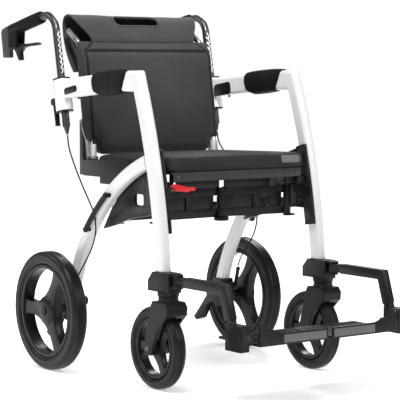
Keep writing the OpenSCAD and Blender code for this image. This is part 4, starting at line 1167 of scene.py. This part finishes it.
@dataclass
class SideFrame:
    """White post, beam and leg of one side with their black brackets."""

    side: Side
    bar_in: float = 230.5
    bar_out: float = 258.5
    bracket_in: float = 222.5
    tablet_sunk: float = 1.5
    plug: Line = ((212, 716), (213, 733), (154, 743), (151, 727))
    pocket: Line = ((218, 706), (218, 739), (143, 750), (139, 716))
    wire: Line = ((196, 228, 649), (204, 219, 652), (211, 206, 634), (212, 188, 606), (207, 178, 586))
    wire_radius: float = 1.1
    screws: Line = ((-172, 560), (-168, 446), (-116, 520), (-40, 424), (20, 410))
    beam_screw: Line = ((244.5, 165, 713), (244.5, 165, 706))

    def build(self) -> None:
        """Dresses the tubes and the brackets, then adds the small fittings."""
        for stem in ("front_post", "armrest_beam"):
            remould(self.side.name(stem), WHITE_PAINT)
        paint(self.side.name("rear_leg"), WHITE_PAINT)
        for stem in ("side_bracket", "seat_rail"):
            soften(self.side.name(stem), BLACK_COAT, edge=0.9)
        soften(self.side.name("post_foot"), BLACK_PLASTIC, edge=2.2, segments=3)
        soften(self.side.name("axle_housing"), BLACK_PLASTIC, edge=1.8, segments=3)
        soften(self.side.name("back_bracket"), SLATE_PLASTIC, edge=1.4)
        soften(self.side.name("handle_collars"), BLACK_PLASTIC, edge=0.8)
        soften(self.side.name("brake_arm"), BLACK_COAT, edge=0.7)
        paint(self.side.name("back_tube"), BACK_METAL)
        soften(self.side.name("back_tab"), BACK_METAL, edge=0.8)
        self.beam_plugs()
        self.release_wire()
        self.fasteners()

    def tablet(self, name: str, outline: Line, x: float, rise: float, radius: float) -> None:
        """Adds a black plate with rounded corners on a side of the beam.

        Args:
            name: the piece's stem.
            outline: its corners in side view.
            x: distance of the beam's side from the middle.
            rise: how far it stands proud, outwards if above zero.
            radius: rounding of its corners.
        """
        shaper = Shaper()
        sunk = math.copysign(self.tablet_sunk, rise)
        corners = [self.side.at(x - sunk, y, z) for y, z in outline]
        depth = (self.side.sign * (rise + sunk) * MM, 0, 0)
        shaper.plate(rounded(corners, radius), depth, edge=0.0006)
        shaper.put(self.side.name(name), BLACK_PLASTIC, self.side.name("frame"), sharp=50.0)

    def beam_plugs(self) -> None:
        """Adds the oblong plug outside and the pocket's cover inside the beam."""
        self.tablet("beam_plug", self.plug, self.bar_out, rise=1.6, radius=8.4)
        self.tablet("beam_pocket", self.pocket, self.bar_in, rise=-1.2, radius=12.0)

    def release_wire(self) -> None:
        """Adds the thin wire from the back bracket's top to the release tab."""
        line = smooth_path([self.side.at(*p) for p in self.wire], steps=5)
        name = self.side.name("release_wire")
        put(tube_mesh(line, self.wire_radius * MM, name), name, STEEL, self.side.name("frame"), sharp=60.0)

    def fasteners(self) -> None:
        """Adds the screw heads of the inner bracket and the screw under the beam."""
        shaper = Shaper()
        for y, z in self.screws:
            base, face = self.side.at(self.bracket_in + 1, y, z), self.side.at(self.bracket_in - 2.6, y, z)
            shaper.rod(base, face, radius=0.0052, far=0.0044, segments=20, edge=0.0006)
            tip = self.side.at(self.bracket_in - 3.0, y, z)
            shaper.rod(face, tip, radius=0.0022, far=0.0018, segments=6)
        ends = [self.side.at(*p) for p in self.beam_screw]
        shaper.rod(*ends, radius=0.004, far=0.003, segments=20, edge=0.0006)
        shaper.put(self.side.name("bracket_screws"), DARK_STEEL, self.side.name("frame"))


@dataclass
class PushHandle:
    """Push handle of one side: tube, grip, hook, brake lever and clamp."""

    side: Side
    x: float = 244.5
    hook_share: float = 0.55
    grip_start: Pair = (352.56, 921.9)
    grip_end: Pair = (507.39, 890.4)
    grip_radius: float = 16.5
    ribs: int = 15
    first_rib: float = 12.0
    rib_pitch: float = 6.2
    rib: Line = ((-2.2, -0.4), (-1.2, 0.6), (1.2, 0.6), (2.2, -0.4))

    def build(self) -> None:
        """Dresses the handle's pieces."""
        paint(self.side.name("handle_tube"), TUBE)
        soften(self.side.name("grip"), GRIP_RUBBER, edge=1.6, segments=3)
        self.hook()
        soften(self.side.name("brake_lever"), BLACK_PLASTIC, edge=1.8, segments=3)
        soften(self.side.name("clamp_lever"), BLACK_PLASTIC, edge=1.2, segments=3)
        self.grip_ribs()

    def hook(self) -> None:
        """Adds the grey end hook as a slab, slimmer than its CAD block."""
        piece = soften(self.side.name("handle_hook"), GREY_PLASTIC, edge=3.0, segments=4)
        middle = self.side.sign * self.x * MM
        for v in piece.data.vertices:
            v.co.x = middle + (v.co.x - middle) * self.hook_share

    def grip_ribs(self) -> None:
        """Adds the raised rings of the grip's rubber."""
        start, end = self.side.at(self.x, *self.grip_start), self.side.at(self.x, *self.grip_end)
        way = (end - start).normalized()
        shaper = Shaper()
        ring = [(along * MM, (self.grip_radius + rise) * MM) for along, rise in self.rib]
        for k in range(self.ribs):
            shaper.lathe(ring, start + way * (self.first_rib + self.rib_pitch * k) * MM, way, 36)
        shaper.put(self.side.name("grip_ribs"), GRIP_RUBBER, self.side.name("handle"), sharp=30.0)


@dataclass
class Wheel:
    """A wheel: rim and tyre, with the moulded rings of the sidewalls and a hub cap if it has one."""

    side: Side
    stem: str
    edge: float = 2.4
    rings: Row = (0.80, 0.845, 0.93)
    bead: Line = ((-1.4, -0.4), (-0.7, 0.7), (0.7, 0.7), (1.4, -0.4))
    cap: float = 0.0
    dome: Line = ((-6.5, 1.0), (-4.0, 0.97), (-0.6, 0.82), (1.2, 0.55), (1.8, 0.3), (1.9, 0.0), (0.8, 0.0),
                  (0.6, 0.40), (-3.0, 0.40))

    def build(self) -> None:
        """Dresses rim and tyre."""
        soften(self.side.name(f"{self.stem}_rim"), RIM_PLASTIC, self.edge, 3)
        paint(self.side.name(f"{self.stem}_tyre"), TYRE)
        self.sidewalls()
        if self.cap:
            self.hub_cap()

    def hub_cap(self) -> None:
        """Adds the hollow cap over the axle's nut."""
        node = self.side.name(f"{self.stem}_rim")
        low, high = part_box(node)
        middle = (low + high) / 2
        face = (high.x - low.x) / 2
        shaper = Shaper()
        shaper.lathe([(face + out * MM, share * self.cap * MM) for out, share in self.dome], middle,
                     (self.side.sign, 0, 0), 64)
        shaper.put(self.side.name(f"{self.stem}_hub_cap"), RIM_PLASTIC, node_body(node), sharp=40.0)

    def sidewalls(self) -> None:
        """Adds low rings that follow the tyre's rounded side."""
        node = self.side.name(f"{self.stem}_tyre")
        low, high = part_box(node)
        middle = (low + high) / 2
        radius, half = (high.z - low.z) / 2, (high.x - low.x) / 2
        tyre = loose(copy_of(node), "tyre_form")
        shaper = Shaper()
        for face in (1, -1):
            for share in self.rings:
                ray = middle + Vector((face * 2 * half, 0, share * radius))
                found, spot, normal, _ = tyre.ray_cast(ray, Vector((-face, 0, 0)))
                if not found:
                    continue
                out, up = spot.x - middle.x, spot.z - middle.z
                along = Vector((normal.z, 0, -normal.x))
                ring = [(along * a + normal * rise) * MM for a, rise in self.bead]
                shaper.lathe([(out + p.x, up + p.z) for p in ring], middle, (1, 0, 0), 96)
        bpy.data.objects.remove(tyre)
        shaper.put(self.side.name(f"{self.stem}_tyre_rings"), TYRE, node_body(node), sharp=35.0)


@dataclass
class CasterFork:
    """Fork of a caster: a crown over the tyre and two tapered blades, moulded in one."""

    side: Side
    x: float = 244.5
    half_gap: float = 21.0
    blade: float = 9.5
    swivel_y: float = -242.0
    axle: Pair = (-196.0, 102.5)
    end: float = 18.0
    wheel_room: float = 107.5
    front_edge: Line = ((-270, 222), (-281, 209), (-279, 190), (-259, 171), (-235, 148))
    rear_edge: Line = ((-194, 165), (-206, 208), (-214, 222))
    neck: Row = (25.0, 220.0, 235.4)

    def build(self) -> None:
        """Moulds the fork and adds its axle bolt."""
        node = self.side.name("caster_fork")
        half = self.half_gap + self.blade
        y, z = self.axle
        turns = [math.radians(a) for a in range(190, 386, 15)]
        end = [(y + self.end * math.cos(a), z + self.end * math.sin(a)) for a in turns]
        shaper = Shaper()
        outline = (*self.front_edge, *end, *self.rear_edge)
        width = (self.side.sign * 2 * half * MM, 0, 0)
        shaper.plate([self.side.at(self.x - half, *p) for p in outline], width)
        cutter = Shaper()
        cutter.rod(*(self.side.at(self.x + out, y, z) for out in (-self.half_gap, self.half_gap)),
                   self.wheel_room * MM, segments=96)
        body = Shaper()
        body.bm.from_mesh(carve(loose(shaper.mesh("fork_start"), "fork_start"), cutter.mesh("wheel_room")))
        radius, low, high = self.neck
        body.rod(*(self.side.at(self.x, self.swivel_y, z) for z in (low, high)), radius * MM)
        skin = formed(body.mesh("fork_body"), 1.7, 6)
        put(skin, f"{node}_shell", BLACK_PLASTIC, node_body(node), [node], sharp=180.0)
        self.bolt(node, half)

    def bolt(self, node: str, half: float) -> None:
        """Adds the axle with its two heads.

        Args:
            node: the fork's CAD node.
            half: distance of the blades' outer faces from the wheel's middle.
        """
        shaper = Shaper()
        for sign in (-1, 1):
            base, face = (self.side.at(self.x + sign * (half - 1), *self.axle),
                          self.side.at(self.x + sign * (half + 3), *self.axle))
            shaper.rod(base, face, radius=0.0075, far=0.0066, segments=24, edge=0.0006)
        shaper.rod(self.side.at(self.x - half, *self.axle), self.side.at(self.x + half, *self.axle), 0.005)
        shaper.put(self.side.name("caster_bolt"), DARK_STEEL, node_body(node))


@dataclass
class Footrest:
    """Footrest arm and plate of one side."""

    side: Side
    tread: Row = (20.0, 196.0, -548.0, -412.0)
    ribs: int = 9
    rib_half: float = 2.0
    rib_z: Pair = (153.4, 155.2)
    lip: Line = ((12.0, -562.6, 152.0), (140.0, -561.2, 171.0))
    arm_x: Pair = (233.5, 255.5)
    arm_half: float = 12.5
    arm_start: Pair = (-318.0, 275.0)
    knee: Pair = (-472.0, 275.0)
    hanger: Pair = (-494.6, 205.4)

    def build(self) -> None:
        """Dresses arm and plate."""
        soften(self.side.name("footrest_arm"), BLACK_COAT, edge=2.4, segments=3)
        soften(self.side.name("footplate"), BLACK_PLASTIC, edge=1.6, segments=3)
        self.arm_cover()
        self.grip_strips()
        self.lip_cover()

    def arm_cover(self) -> None:
        """Adds the full section of arm and hanger round their CAD bars, mitred at the knee."""
        start, knee, end = (Vector(p) for p in (self.arm_start, self.knee, self.hanger))
        ways = (knee - start, end - knee)
        across = [Vector((-way.y, way.x)).normalized() * -self.arm_half for way in ways]
        corner = across[0] + across[1]
        corner *= self.arm_half ** 2 / corner.dot(across[0])
        outline = [start + across[0], knee + corner, end + across[1],
                   end - across[1], knee - corner, start - across[0]]
        inner, outer = self.arm_x
        shaper = Shaper()
        width = (self.side.sign * (outer - inner) * MM, 0, 0)
        shaper.plate([self.side.at(inner, *p) for p in outline], width, edge=0.003, segments=3)
        node = self.side.name("footrest_arm")
        shaper.put(f"{node}_cover", BLACK_COAT, node_body(node), sharp=50.0)

    def grip_strips(self) -> None:
        """Adds the low ribs on top of the plate."""
        shaper = Shaper()
        x0, x1, y0, y1 = self.tread
        low, high = self.rib_z
        for k in range(self.ribs):
            y = y0 + (y1 - y0) * (k + 0.5) / self.ribs
            shaper.block(self.side.at(x0, y - self.rib_half, low),
                         self.side.at(x1, y + self.rib_half, high), edge=0.0007)
        shaper.put(self.side.name("footplate_ribs"), BLACK_PLASTIC, self.side.name("footplate"), sharp=40.0)

    def lip_cover(self) -> None:
        """Adds the grey strip along the front lip."""
        shaper = Shaper()
        shaper.block(*(self.side.at(*p) for p in self.lip), edge=0.0006)
        shaper.put(self.side.name("footplate_lip"), LIP_PLASTIC, self.side.name("footplate"), sharp=40.0)


@dataclass
class ArmrestPad:
    """Foam pad round the armrest beam."""

    side: Side

    def build(self) -> None:
        """Fills the pad's foam."""
        node = self.side.name("armrest_pad")
        mesh = Padding(voxel=3.0, pressure=2.0, cap=1.2, frames=10).fill(copy_of(node))
        piece = put(mesh, self.side.name("armrest_foam"), PAD_FOAM, node_body(node), [node], sharp=70.0)


@dataclass
class Seat:
    """Seat cushion on its board, with the plain patch sewn to its front."""

    patch: Line = ((130, 545), (130, 564), (190, 564), (190, 545))
    patch_rise: float = 3.8
    held: float = 8.0
    seam_in: float = 1.5
    seam_up: float = 5.0
    strip: Line = ((-204.0, -207.6, 509.0), (197.0, -205.2, 530.0))
    strip_screws: Pair = (-190.0, 184.0)
    screw_depth: Pair = (-207.0, -209.8)
    screw_z: float = 519.5

    def build(self) -> None:
        """Fills the cushion, sews its seams and the patch."""
        soften("seat_board", BLACK_COAT, edge=1.2)
        low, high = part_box("seat_cushion")

        def crowned(start: Vector, now: Vector) -> Vector:
            """Lets the top rise and holds the underside on the board."""
            return Vector((start.x, start.y, start.z if start.z < low.z + self.held * MM else now.z))

        mesh = Padding(voxel=4.0, pressure=4.0, cap=3.0).fill(copy_of("seat_cushion"), crowned)
        x, front, rear = high.x / MM - self.seam_in, low.y / MM + self.seam_in, high.y / MM - self.seam_in
        for z in (high.z / MM - self.seam_up, low.z / MM + self.seam_up):
            round_edge = ((-x, rear, z), (-x, front, z), (x, front, z), (x, rear, z))
            Seam(round_edge, depth=2.2, width=2.6, shadow=0.3).pull(mesh)
        cover = put(mesh, "seat_cover", COVER, "seat", ["seat_cushion"], sharp=80.0)
        self.sew_patch(cover)
        self.front_rail()

    def front_rail(self) -> None:
        """Adds the pale strip of the front rail with its two screws."""
        shaper = Shaper()
        shaper.block(*(Vector(p) * MM for p in self.strip), edge=0.0008)
        shaper.put("seat_front_strip", SLATE_PLASTIC, "seat")
        bolts = Shaper()
        for x in self.strip_screws:
            ends = (Vector((x, y, self.screw_z)) * MM for y in self.screw_depth)
            bolts.rod(*ends, radius=0.0046, far=0.0038, segments=20, edge=0.0005)
        bolts.put("seat_rail_screws", DARK_STEEL, "seat")

    def sew_patch(self, cover: bpy.types.Object) -> None:
        """Lays the patch on the cushion's front face.

        Args:
            cover: the finished cushion.
        """
        bpy.context.view_layer.update()
        shaper = Shaper()
        corners = [Vector((x * MM, 0, z * MM)) for x, z in self.patch]
        shaper.plate(rounded(corners, 8.0), (0, self.patch_rise * MM, 0), edge=0.0004)
        bmesh.ops.subdivide_edges(shaper.bm, edges=shaper.bm.edges, cuts=3, use_grid_fill=True)
        for v in shaper.bm.verts:
            found, spot, _, _ = cover.ray_cast(Vector((v.co.x, -0.4, v.co.z)), Vector((0, 1, 0)))
            if found:
                v.co.y += spot.y - 0.8 * self.patch_rise * MM
        shaper.put("seat_patch", PATCH, "seat", sharp=50.0)


@dataclass
class FoldGear:
    """Folding links with their webs and the red latch."""

    pivot: Pair = (-205.0, -140.0)
    sag: float = 12.0
    levels: Line = ((407, 427), (462, 482))
    barrel: float = 12.4
    webs_r: Line = ((12, 94), (111, 186))
    webs_l: Line = ((12, 43), (77, 95), (103, 183))
    web: Line = ((8.0, 12.0, 425.0, 464.0),)
    flange_span: Pair = (56.0, 198.0)
    flange: Line = ((-1.0, 1.5, 481.0, 505.0), (-1.0, 10.0, 481.0, 484.0))
    cap_radius: float = 19.0
    cap_height: float = 9.0
    paddle_y: float = -209.7
    paddle_t: float = 5.4
    paddle: Line = ((-214, 500), (-199, 503), (-163, 495), (-146, 487), (-164, 482), (-199, 486),
                    (-214, 488))

    def build(self) -> None:
        """Dresses the links and the latch."""
        for node in ("link_front_r", "link_front_l", "link_rear_r", "link_rear_l"):
            soften(node, BLACK_COAT, edge=1.0)
        for side, spans in ((Side.RIGHT, self.webs_r), (Side.LEFT, self.webs_l)):
            self.webs("webs", side, spans, self.web)
            self.webs("flange", side, (self.flange_span,), self.flange)
        self.barrels()
        soften("fold_latch", LATCH_RED, edge=1.2, segments=3)
        shaper = Shaper()
        corners = [Vector((x, self.paddle_y, z)) * MM for x, z in self.paddle]
        shaper.plate(corners, (0, self.paddle_t * MM, 0), edge=0.0012, segments=3)
        shaper.put("latch_paddle", LATCH_RED, "fold_latch", sharp=50.0)

    def webs(self, name: str, side: Side, spans: Line, sections: Line) -> None:
        """Adds sheet webs along a front link.

        Args:
            name: what they are, for the piece's name.
            side: the link's side.
            spans: start and end of each web along the link.
            sections: front, rear, lowest and highest place of each sheet.
        """
        angle = math.atan2(self.sag, -self.pivot[0])
        place = Matrix.Translation(Vector((*self.pivot, 0)) * MM) @ Matrix.Rotation(angle, 4, "Z")
        mirror = Matrix.Diagonal((-side.sign, 1, 1, 1))
        shaper = Shaper()
        for start, end in spans:
            for front, rear, low, high in sections:
                shaper.block(Vector((start, front, low)) * MM, Vector((end, rear, high)) * MM, edge=0.0008)
        bmesh.ops.transform(shaper.bm, matrix=mirror @ place, verts=shaper.bm.verts)
        node = side.name("link_front")
        shaper.put(f"{node}_{name}", BLACK_COAT, node_body(node))

    def barrels(self) -> None:
        """Adds the collars of the middle hinge and the cap under it."""
        y = self.pivot[1] + self.sag
        (low, low_top), (high, high_top) = self.levels
        outer, inner = Shaper(), Shaper()
        for start, end in ((low, low_top), (high, high_top)):
            outer.rod(Vector((0, y, start)) * MM, Vector((0, y, end)) * MM, self.barrel * MM)
        outer.rod(Vector((0, y, low - self.cap_height)) * MM, Vector((0, y, low + 1)) * MM,
                  self.cap_radius * MM, segments=32, edge=0.0015)
        outer.put("link_collars_r", BLACK_PLASTIC, node_body("link_front_r"))
        inner.rod(Vector((0, y, low_top + 1.5)) * MM, Vector((0, y, high - 1.5)) * MM, self.barrel * MM)
        inner.put("link_collars_l", BLACK_PLASTIC, node_body("link_front_l"))


@dataclass
class BackRest:
    """Padded back with the mitred top band and the flap with its hand slot."""

    foot_y: float = 160.0
    foot_z: float = 573.0
    lean: float = 9.0
    bottom: float = 557.0
    half: float = 209.0
    front_line: Line = ((2, 8), (23, 3), (140, 1), (262, 2), (285, 10), (301, 24))
    rear_line: Line = ((301, 35), (277, 40), (140, 41), (4, 38))
    notch: Line = ((163, 540), (166, 556), (181, 575), (182, 597), (260, 597), (260, 540))
    edge_seam: Line = ((198, 833, 4), (198, 700, 4), (198, 606, 4), (178, 590, 4), (178, 571, 1))
    rear_seam: float = 48.0
    mitre: Pair = (160.0, 862.0)
    flap_line: Line = ((226, 857, 163), (228, 867, 165), (236, 881, 173), (250, 900, 186), (268, 917, 195),
                        (288, 926, 197), (306, 922, 197), (316, 907, 196), (318, 886, 195), (313, 859, 195),
                        (301, 831, 196), (280, 805, 200), (259, 786, 204), (248, 777, 206))
    slot_at: Pair = (266.0, 911.5)
    slot_turn: float = 43.0
    slot_size: Pair = (140.0, 38.0)
    slot_corner: float = 17.0
    cloth: float = 4.5
    ripple: float = 6.0
    ripple_rate: Pair = (2.6, 5.0)
    ripple_seed: float = 1.7
    ripple_lift: float = 0.6
    dip: float = 3.0
    dip_at: float = 0.36
    dip_width: float = 0.16
    end_tape: float = 3.1
    # radius of the dark hem tube, which also stands for the shadow line under the flap's front edge
    hem: float = 3.4
    slot_tape: float = 4.0
    columns: int = 60

    def front(self, z: float) -> float:
        """Depth of the front face at a height."""
        return self.foot_y + (z - self.foot_z) * math.tan(math.radians(self.lean))

    def build(self) -> None:
        """Makes the panel and the flap, and gives the panel, the flap and the tapes meshes of their own."""
        panel = self.panel()
        bare = self.flap_form()
        tapes = self.binding(bare)
        flap = self.flap(bare, tapes)
        for piece in (panel, flap, *tapes):
            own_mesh(piece)

    def panel(self) -> bpy.types.Object:
        """The padded panel, with its sewn edges.

        Returns:
            The piece.
        """
        shaper = Shaper()
        outline = [(self.front(self.bottom + up) + out, self.bottom + up)
                   for up, out in (*self.front_line, *self.rear_line)]
        corners = [Vector((-self.half, y, z)) * MM for y, z in outline]
        shaper.plate(corners, (2 * self.half * MM, 0, 0), edge=0.006, segments=2)
        start = loose(shaper.mesh("panel_start"), "panel_start")
        cutter = Shaper()
        for sign in (-1, 1):
            cutter.plate([(sign * x * MM, 0.1, z * MM) for x, z in self.notch], (0, 0.2, 0))
        plain = carve(start, cutter.mesh("notch"))

        def full_width(start: Vector, now: Vector) -> Vector:
            """Lets the filling bulge to front and rear only."""
            return Vector((start.x, now.y, start.z))

        mesh = Padding(voxel=5.0, pressure=4.0, cap=6.0).fill(plain, full_width)
        self.sew(mesh)
        return put(mesh, "back_panel", COVER, "frame_r", ["back_sling"], sharp=80.0)

    def sew(self, mesh: bpy.types.Mesh) -> None:
        """Draws in the seams of the front: the edge seams, the band's seam and its mitres.

        Args:
            mesh: the filled panel.
        """
        across, top = self.mitre
        for sign in (-1, 1):
            edge = tuple((sign * x, self.front(z) - proud, z) for x, z, proud in self.edge_seam)
            Seam(edge, depth=4.0, width=3.2, through=7.0).pull(mesh)
            corner = (sign * across, self.front(top) + 20, top)
            Seam((edge[0], corner), depth=3.6, width=3.0, through=8.0).pull(mesh)
        x, y, z = edge[0]
        Seam(((-x, y, z), (x, y, z)), depth=4.6, width=3.6, through=7.0).pull(mesh)
        y += self.rear_seam
        Seam(((-x, y, z), (x, y, z)), depth=2.5, width=3.4, through=7.0).pull(mesh)

    def flap_form(self) -> bpy.types.Object:
        """A helper sheet without thickness: over the top and down the rear, rippled by hanging.

        Returns:
            The helper object.
        """
        line = smooth_path([(half * MM, y * MM, z * MM) for y, z, half in self.flap_line], steps=4)
        last = len(line) - 1
        across, down = self.ripple_rate
        shaper = Shaper()
        grid = bmesh.ops.create_grid(shaper.bm, x_segments=self.columns, y_segments=last, size=1.0)
        for k, v in enumerate(grid["verts"]):
            row = k // (self.columns + 1)
            p, along, share = line[row], row / last, v.co.x
            slack = math.sin(math.pi * min(1.0, along * 1.15)) ** 0.7 if along < 0.87 else 0.3
            wave = noise.noise(Vector((share * across, along * down, self.ripple_seed)))
            ripple = wave * self.ripple * MM * slack
            near = math.exp(-((along - self.dip_at) / self.dip_width) ** 2)
            dip = self.dip * MM * (1.0 - share * share) * near
            v.co = Vector((share * p.x, p.y + ripple, p.z - dip + self.ripple_lift * ripple))
        return loose(shaper.mesh("flap_form"), "flap_form")

    def slot_frame(self) -> Matrix:
        """Place and turn of the hand slot, with its own Z away from the cloth."""
        turn = Matrix.Rotation(math.radians(self.slot_turn), 4, "X")
        return Matrix.Translation(Vector((0, *self.slot_at)) * MM) @ turn

    def slot_outline(self, grow: float = 0.0) -> list[Vector]:
        """The slot's outline in its own plane.

        Args:
            grow: how much larger it is on every side, in millimetres.

        Returns:
            The points of the outline.
        """
        x, y = self.slot_size[0] / 2 + grow, self.slot_size[1] / 2 + grow
        corners = [Vector((sx * x * MM, sy * y * MM, 0)) for sx, sy in ((-1, -1), (1, -1), (1, 1), (-1, 1))]
        return rounded(corners, self.slot_corner + grow)

    def binding(self, form: bpy.types.Object) -> list[bpy.types.Object]:
        """Adds the tapes along the flap's two open ends, its front edge and round the slot; the dark tube
        along the front edge also stands in for the shadow line under it.

        Args:
            form: the bare sheet.

        Returns:
            The tapes.
        """
        bpy.context.view_layer.update()
        tapes = []
        count = len(form.data.vertices) // (self.columns + 1)
        for stem, column in (("r", 0), ("l", self.columns)):
            line = [form.data.vertices[k * (self.columns + 1) + column].co.copy() for k in range(count)]
            name = f"flap_tape_{stem}"
            tape = tube_mesh(line, self.end_tape * MM, name)
            tapes.append(put(tape, name, BINDING, "frame_r", sharp=60.0))
        # a rolled hem in the dark binding colour along the front edge, and also a dark stand-in for the
        # painted shadow line under the flap's edge
        hem = [form.data.vertices[c].co.copy() for c in range(self.columns + 1)]
        edge = tube_mesh(hem, self.hem * MM, "flap_hem")
        tapes.append(put(edge, "flap_hem", BINDING, "frame_r", sharp=60.0))
        place = self.slot_frame()
        away = place.to_3x3() @ Vector((0, 0, 1))
        line = []
        for p in self.slot_outline(2.2):
            found, spot, _, _ = form.ray_cast(place @ p + away * 0.05, -away)
            if found:
                line.append(spot)
        ring = tube_mesh(line, self.slot_tape * MM, "slot_tape", True)
        tapes.append(put(ring, "slot_tape", BINDING, "frame_r", sharp=60.0))
        return tapes

    def flap(self, form: bpy.types.Object, tapes: Sequence[bpy.types.Object]) -> bpy.types.Object:
        """The flap: the sheet with its thickness and the hand slot.

        Args:
            form: the bare sheet, which is used up.
            tapes: the tapes on it; not used.

        Returns:
            The piece.
        """
        wall = form.modifiers.new("wall", "SOLIDIFY")
        wall.thickness = self.cloth * MM
        wall.offset = 0.0
        cutter = Shaper()
        place = self.slot_frame()
        deep = place.to_3x3() @ Vector((0, 0, -0.05))
        cutter.plate([place @ p - deep / 2 for p in self.slot_outline()], deep)
        made = carve(form, cutter.mesh("slot"))
        piece = put(made, "back_flap", COVER, "frame_r", sharp=50.0)
        line = [Vector((0, y, z)) * MM for y, z, _ in self.flap_line]
        length = sum((b - a).length for a, b in zip(line, line[1:]))
        return piece


def main() -> None:
    """Builds the studio, the cables and then each sub-assembly."""
    Studio().build()
    for side in Side:
        BrakeCable(side).build()
    for side in Side:
        SideFrame(side).build()
        PushHandle(side).build()
        Wheel(side, "rear", cap=38.0).build()
        Wheel(side, "caster").build()
        CasterFork(side).build()
        Footrest(side).build()
        ArmrestPad(side).build()
    FoldGear().build()
    Seat().build()
    BackRest().build()


if __name__ == "__main__":
    main()
